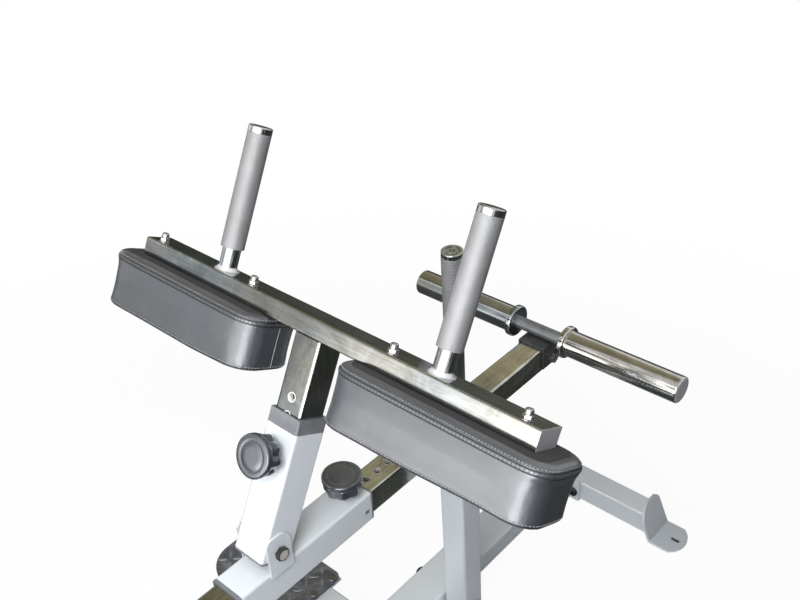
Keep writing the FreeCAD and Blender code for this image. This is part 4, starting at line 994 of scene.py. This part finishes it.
def beads():
    """Low rippled weld beads at the feet of the handles."""
    def ripple(index):
        return 1 + 0.10 * math.sin(index * 1.9) + 0.05 * math.sin(index * 0.7)

    rings = []
    turns = 96
    radius = 0.0184
    angles = [2 * math.pi * index / turns for index in range(turns)]
    for x in (-HANDLE_X, HANDLE_X):
        points = [Vector((x + radius * math.cos(angle), radius * math.sin(angle), BAR_TOP + 0.0001))
                  for angle in angles]
        rings.append(tube(points, 0.0011, True, 8, ripple))
    new_piece("handle_weld_beads", joined(rings, "handle_weld_beads", UPRIGHT), WELD, "pad_assembly")


beads()


# Stage, light, camera

def sheet(name, x0, x1, y0, y1, z=0.0):
    """A level rectangle as an object of its own."""
    corners = [(x0, y0, z), (x1, y0, z), (x1, y1, z), (x0, y1, z)]
    return add_object(name, mesh_from(corners, [(0, 1, 2, 3)], name))


def slot_shadows():
    """Painted shadow: dark sheets on the floor under the four foot brackets, which their slots show."""
    slot_start, slot_end, half_width = 0.42, 0.86, 0.012
    for index, node in enumerate(("front_foot_bracket_left", "front_foot_bracket_right",
                                  "rear_foot_bracket_left", "rear_foot_bracket_right")):
        low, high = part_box(node)
        outer = 1 if low.x > 0 else -1
        near = low.x if outer > 0 else high.x
        span = high.x - low.x
        x0, x1 = sorted((near + outer * span * slot_start, near + outer * span * slot_end))
        middle = (low.y + high.y) / 2
        patch = sheet("slot_shadow_%d" % index, x0, x1, middle - half_width, middle + half_width, -0.0002)
        # The black cap plastic serves as the painted shadow seen through the slots.
        patch.data.materials.append(CAP_AND_SLOT_SHADE)


def floor():
    """The pale floor: nearly white to the camera near the machine, and white further out."""
    plane = sheet("floor", -9, 9, -9, 9, -0.0006)
    material = bpy.data.materials.new("pale_floor")
    material.use_nodes = True
    build = Nodes(material.node_tree)
    matt = build.node("BsdfDiffuse", {"Color": (0.92, 0.92, 0.92, 1)}).outputs[0]
    glow = build.node("Emission", {"Color": (1, 1, 1, 1)}).outputs[0]
    path = build.node("LightPath").outputs
    where = build.node("TexCoord").outputs["Object"]
    reach = build.node("VectorMath", {0: where}, operation="LENGTH").outputs["Value"]
    fade = build.node("MapRange", {"Value": reach, "From Min": 0.7, "From Max": 2.0, "To Min": 0.93, "To Max": 1.0},
                      interpolation_type="SMOOTHSTEP").outputs[0]
    either = build.node("Math", {0: path["Is Camera Ray"], 1: path["Is Transmission Ray"]}, operation="MAXIMUM")
    share = build.node("Math", {0: either.outputs[0], 1: fade}, operation="MULTIPLY").outputs[0]
    mixed = build.node("MixShader", {0: share, 1: matt, 2: glow}).outputs[0]
    build.node("OutputMaterial", {0: mixed})
    plane.data.materials.append(material)


def card(name, centre, facing, width, height, low, high, slant=1.0):
    """A studio card that only reflections see; its glow goes from low to high along its width."""
    board = sheet(name, -width / 2, width / 2, -height / 2, height / 2)
    board.location = centre
    board.rotation_mode = "QUATERNION"
    board.rotation_quaternion = Vector(facing).to_track_quat("Z", "Y")
    material = bpy.data.materials.new(name)
    material.use_nodes = True
    build = Nodes(material.node_tree)
    where = build.node("TexCoord").outputs["Object"]
    grain = build.node("TexNoise", {"Vector": where, "Scale": 1.6, "Detail": 4}).outputs["Fac"]
    slope = build.node("SeparateXYZ", {"Vector": where}).outputs["X"]
    blend = build.node("Math", {0: slope, 1: slant / width, 2: grain}, operation="MULTIPLY_ADD").outputs[0]
    shade = build.node("Mix", {0: blend, 6: (*low, 1), 7: (*high, 1)}, data_type="RGBA").outputs[2]
    glow = build.node("Emission", {"Color": shade}).outputs[0]
    build.node("OutputMaterial", {0: glow})
    board.data.materials.append(material)
    board.visible_camera = False
    board.visible_diffuse = False
    board.visible_shadow = False
    board.visible_transmission = False


def lamp(name, centre, target, width, height, watts, colour=(1, 1, 1)):
    data = bpy.data.lights.new(name, "AREA")
    data.shape = "RECTANGLE"
    data.size = width
    data.size_y = height
    data.energy = watts
    data.color = colour
    made = add_object(name, data)
    made.location = centre
    made.rotation_mode = "QUATERNION"
    made.rotation_quaternion = (Vector(target) - Vector(centre)).to_track_quat("-Z", "Y")
    made.visible_glossy = False


def world():
    """White to the camera and in reflections, and a dim cool light on the machine."""
    made = bpy.data.worlds.new("studio")
    bpy.context.scene.world = made
    made.use_nodes = True
    build = Nodes(made.node_tree)
    seen = build.node("Background", {"Color": (1, 1, 1, 1), "Strength": 1.0}).outputs[0]
    lit = build.node("Background", {"Color": (0.93, 0.96, 1.0, 1), "Strength": 0.21}).outputs[0]
    path = build.node("LightPath").outputs
    first = build.node("Math", {0: path["Is Camera Ray"], 1: path["Is Glossy Ray"]}, operation="MAXIMUM").outputs[0]
    second = build.node("Math", {0: first, 1: path["Is Transmission Ray"]}, operation="MAXIMUM").outputs[0]
    mixed = build.node("MixShader", {0: second, 1: lit, 2: seen}).outputs[0]
    build.node("OutputWorld", {0: mixed})


def camera():
    """The camera at the photograph's viewing angle, from a fit to its points and edges in pixels."""
    azimuth = math.radians(44.97)
    elevation = math.radians(35.64)
    roll = math.radians(-4.27)
    eye = (0.8168, -0.6688, 1.5178)
    wide, tall = 800, 600
    focal, centre_x, centre_y = 964, 372.1, 338.5
    level = math.cos(elevation)
    ahead = Vector((-math.sin(azimuth) * level, math.cos(azimuth) * level, -math.sin(elevation)))
    side = Vector((math.cos(azimuth), math.sin(azimuth), 0))
    up = side.cross(ahead)
    right = side * math.cos(roll) + up * math.sin(roll)
    top = up * math.cos(roll) - side * math.sin(roll)
    data = bpy.data.cameras.new("camera")
    data.sensor_fit = "HORIZONTAL"
    data.sensor_width = 36
    data.lens = 36 * focal / wide
    data.shift_x = (wide / 2 - centre_x) / wide
    data.shift_y = (centre_y - tall / 2) / wide
    data.clip_start = 0.02
    data.clip_end = 60
    made = add_object("camera", data)
    made.matrix_world = Matrix([(right[row], top[row], -ahead[row], eye[row]) for row in range(3)] + [(0, 0, 0, 1)])
    bpy.context.scene.camera = made


floor()
slot_shadows()
world()
lamp("key", (-1.2, -2.3, 1.7), (0.0, -0.1, 0.6), 2.0, 1.5, 30, (1.0, 0.99, 0.97))
lamp("front", (0.50, -0.80, 1.42), (0.0, -0.1, 0.42), 0.6, 0.6, 21, (0.96, 0.98, 1.0))
lamp("top", (0.0, -0.35, 2.0), (0.0, -0.1, 0.4), 1.2, 1.2, 13)
card("window_card", (-1.0, -2.1, 1.65), (0, 1, 0), 4.4, 3.3, (3.6, 3.57, 3.5), (0.5, 0.52, 0.52), 2.4)
card("low_window_card", (-1.0, -2.05, 0.36), (0, 1, 0), 1.5, 0.72, (6.0, 6.0, 6.0), (1.6, 1.6, 1.6), 2.4)
card("strip_card", (1.10, -1.85, 1.15), (-0.5, 0.8, -0.15), 1.15, 1.7, (6.8, 6.9, 7.3), (9.6, 9.8, 10.4))
card("far_card", (-1.6, 2.3, 0.62), (0.55, -0.8, 0.05), 3.4, 1.15, (0.03, 0.034, 0.028), (0.14, 0.15, 0.125))
card("floor_card", (0.0, 0.0, 0.006), (0, 0, 1), 7.0, 7.0, (0.025, 0.029, 0.027), (0.13, 0.14, 0.135))
card("right_card", (2.7, 0.4, 0.75), (-1, -0.1, 0), 3.6, 1.5, (0.03, 0.033, 0.037), (0.09, 0.097, 0.108))
card("ceiling_card", (-2.0, 1.0, 2.7), (0.6, -0.3, -0.75), 4.2, 3.6, (0.16, 0.145, 0.09), (0.50, 0.46, 0.32))
camera()

scene = bpy.context.scene
scene.view_settings.view_transform = "Standard"
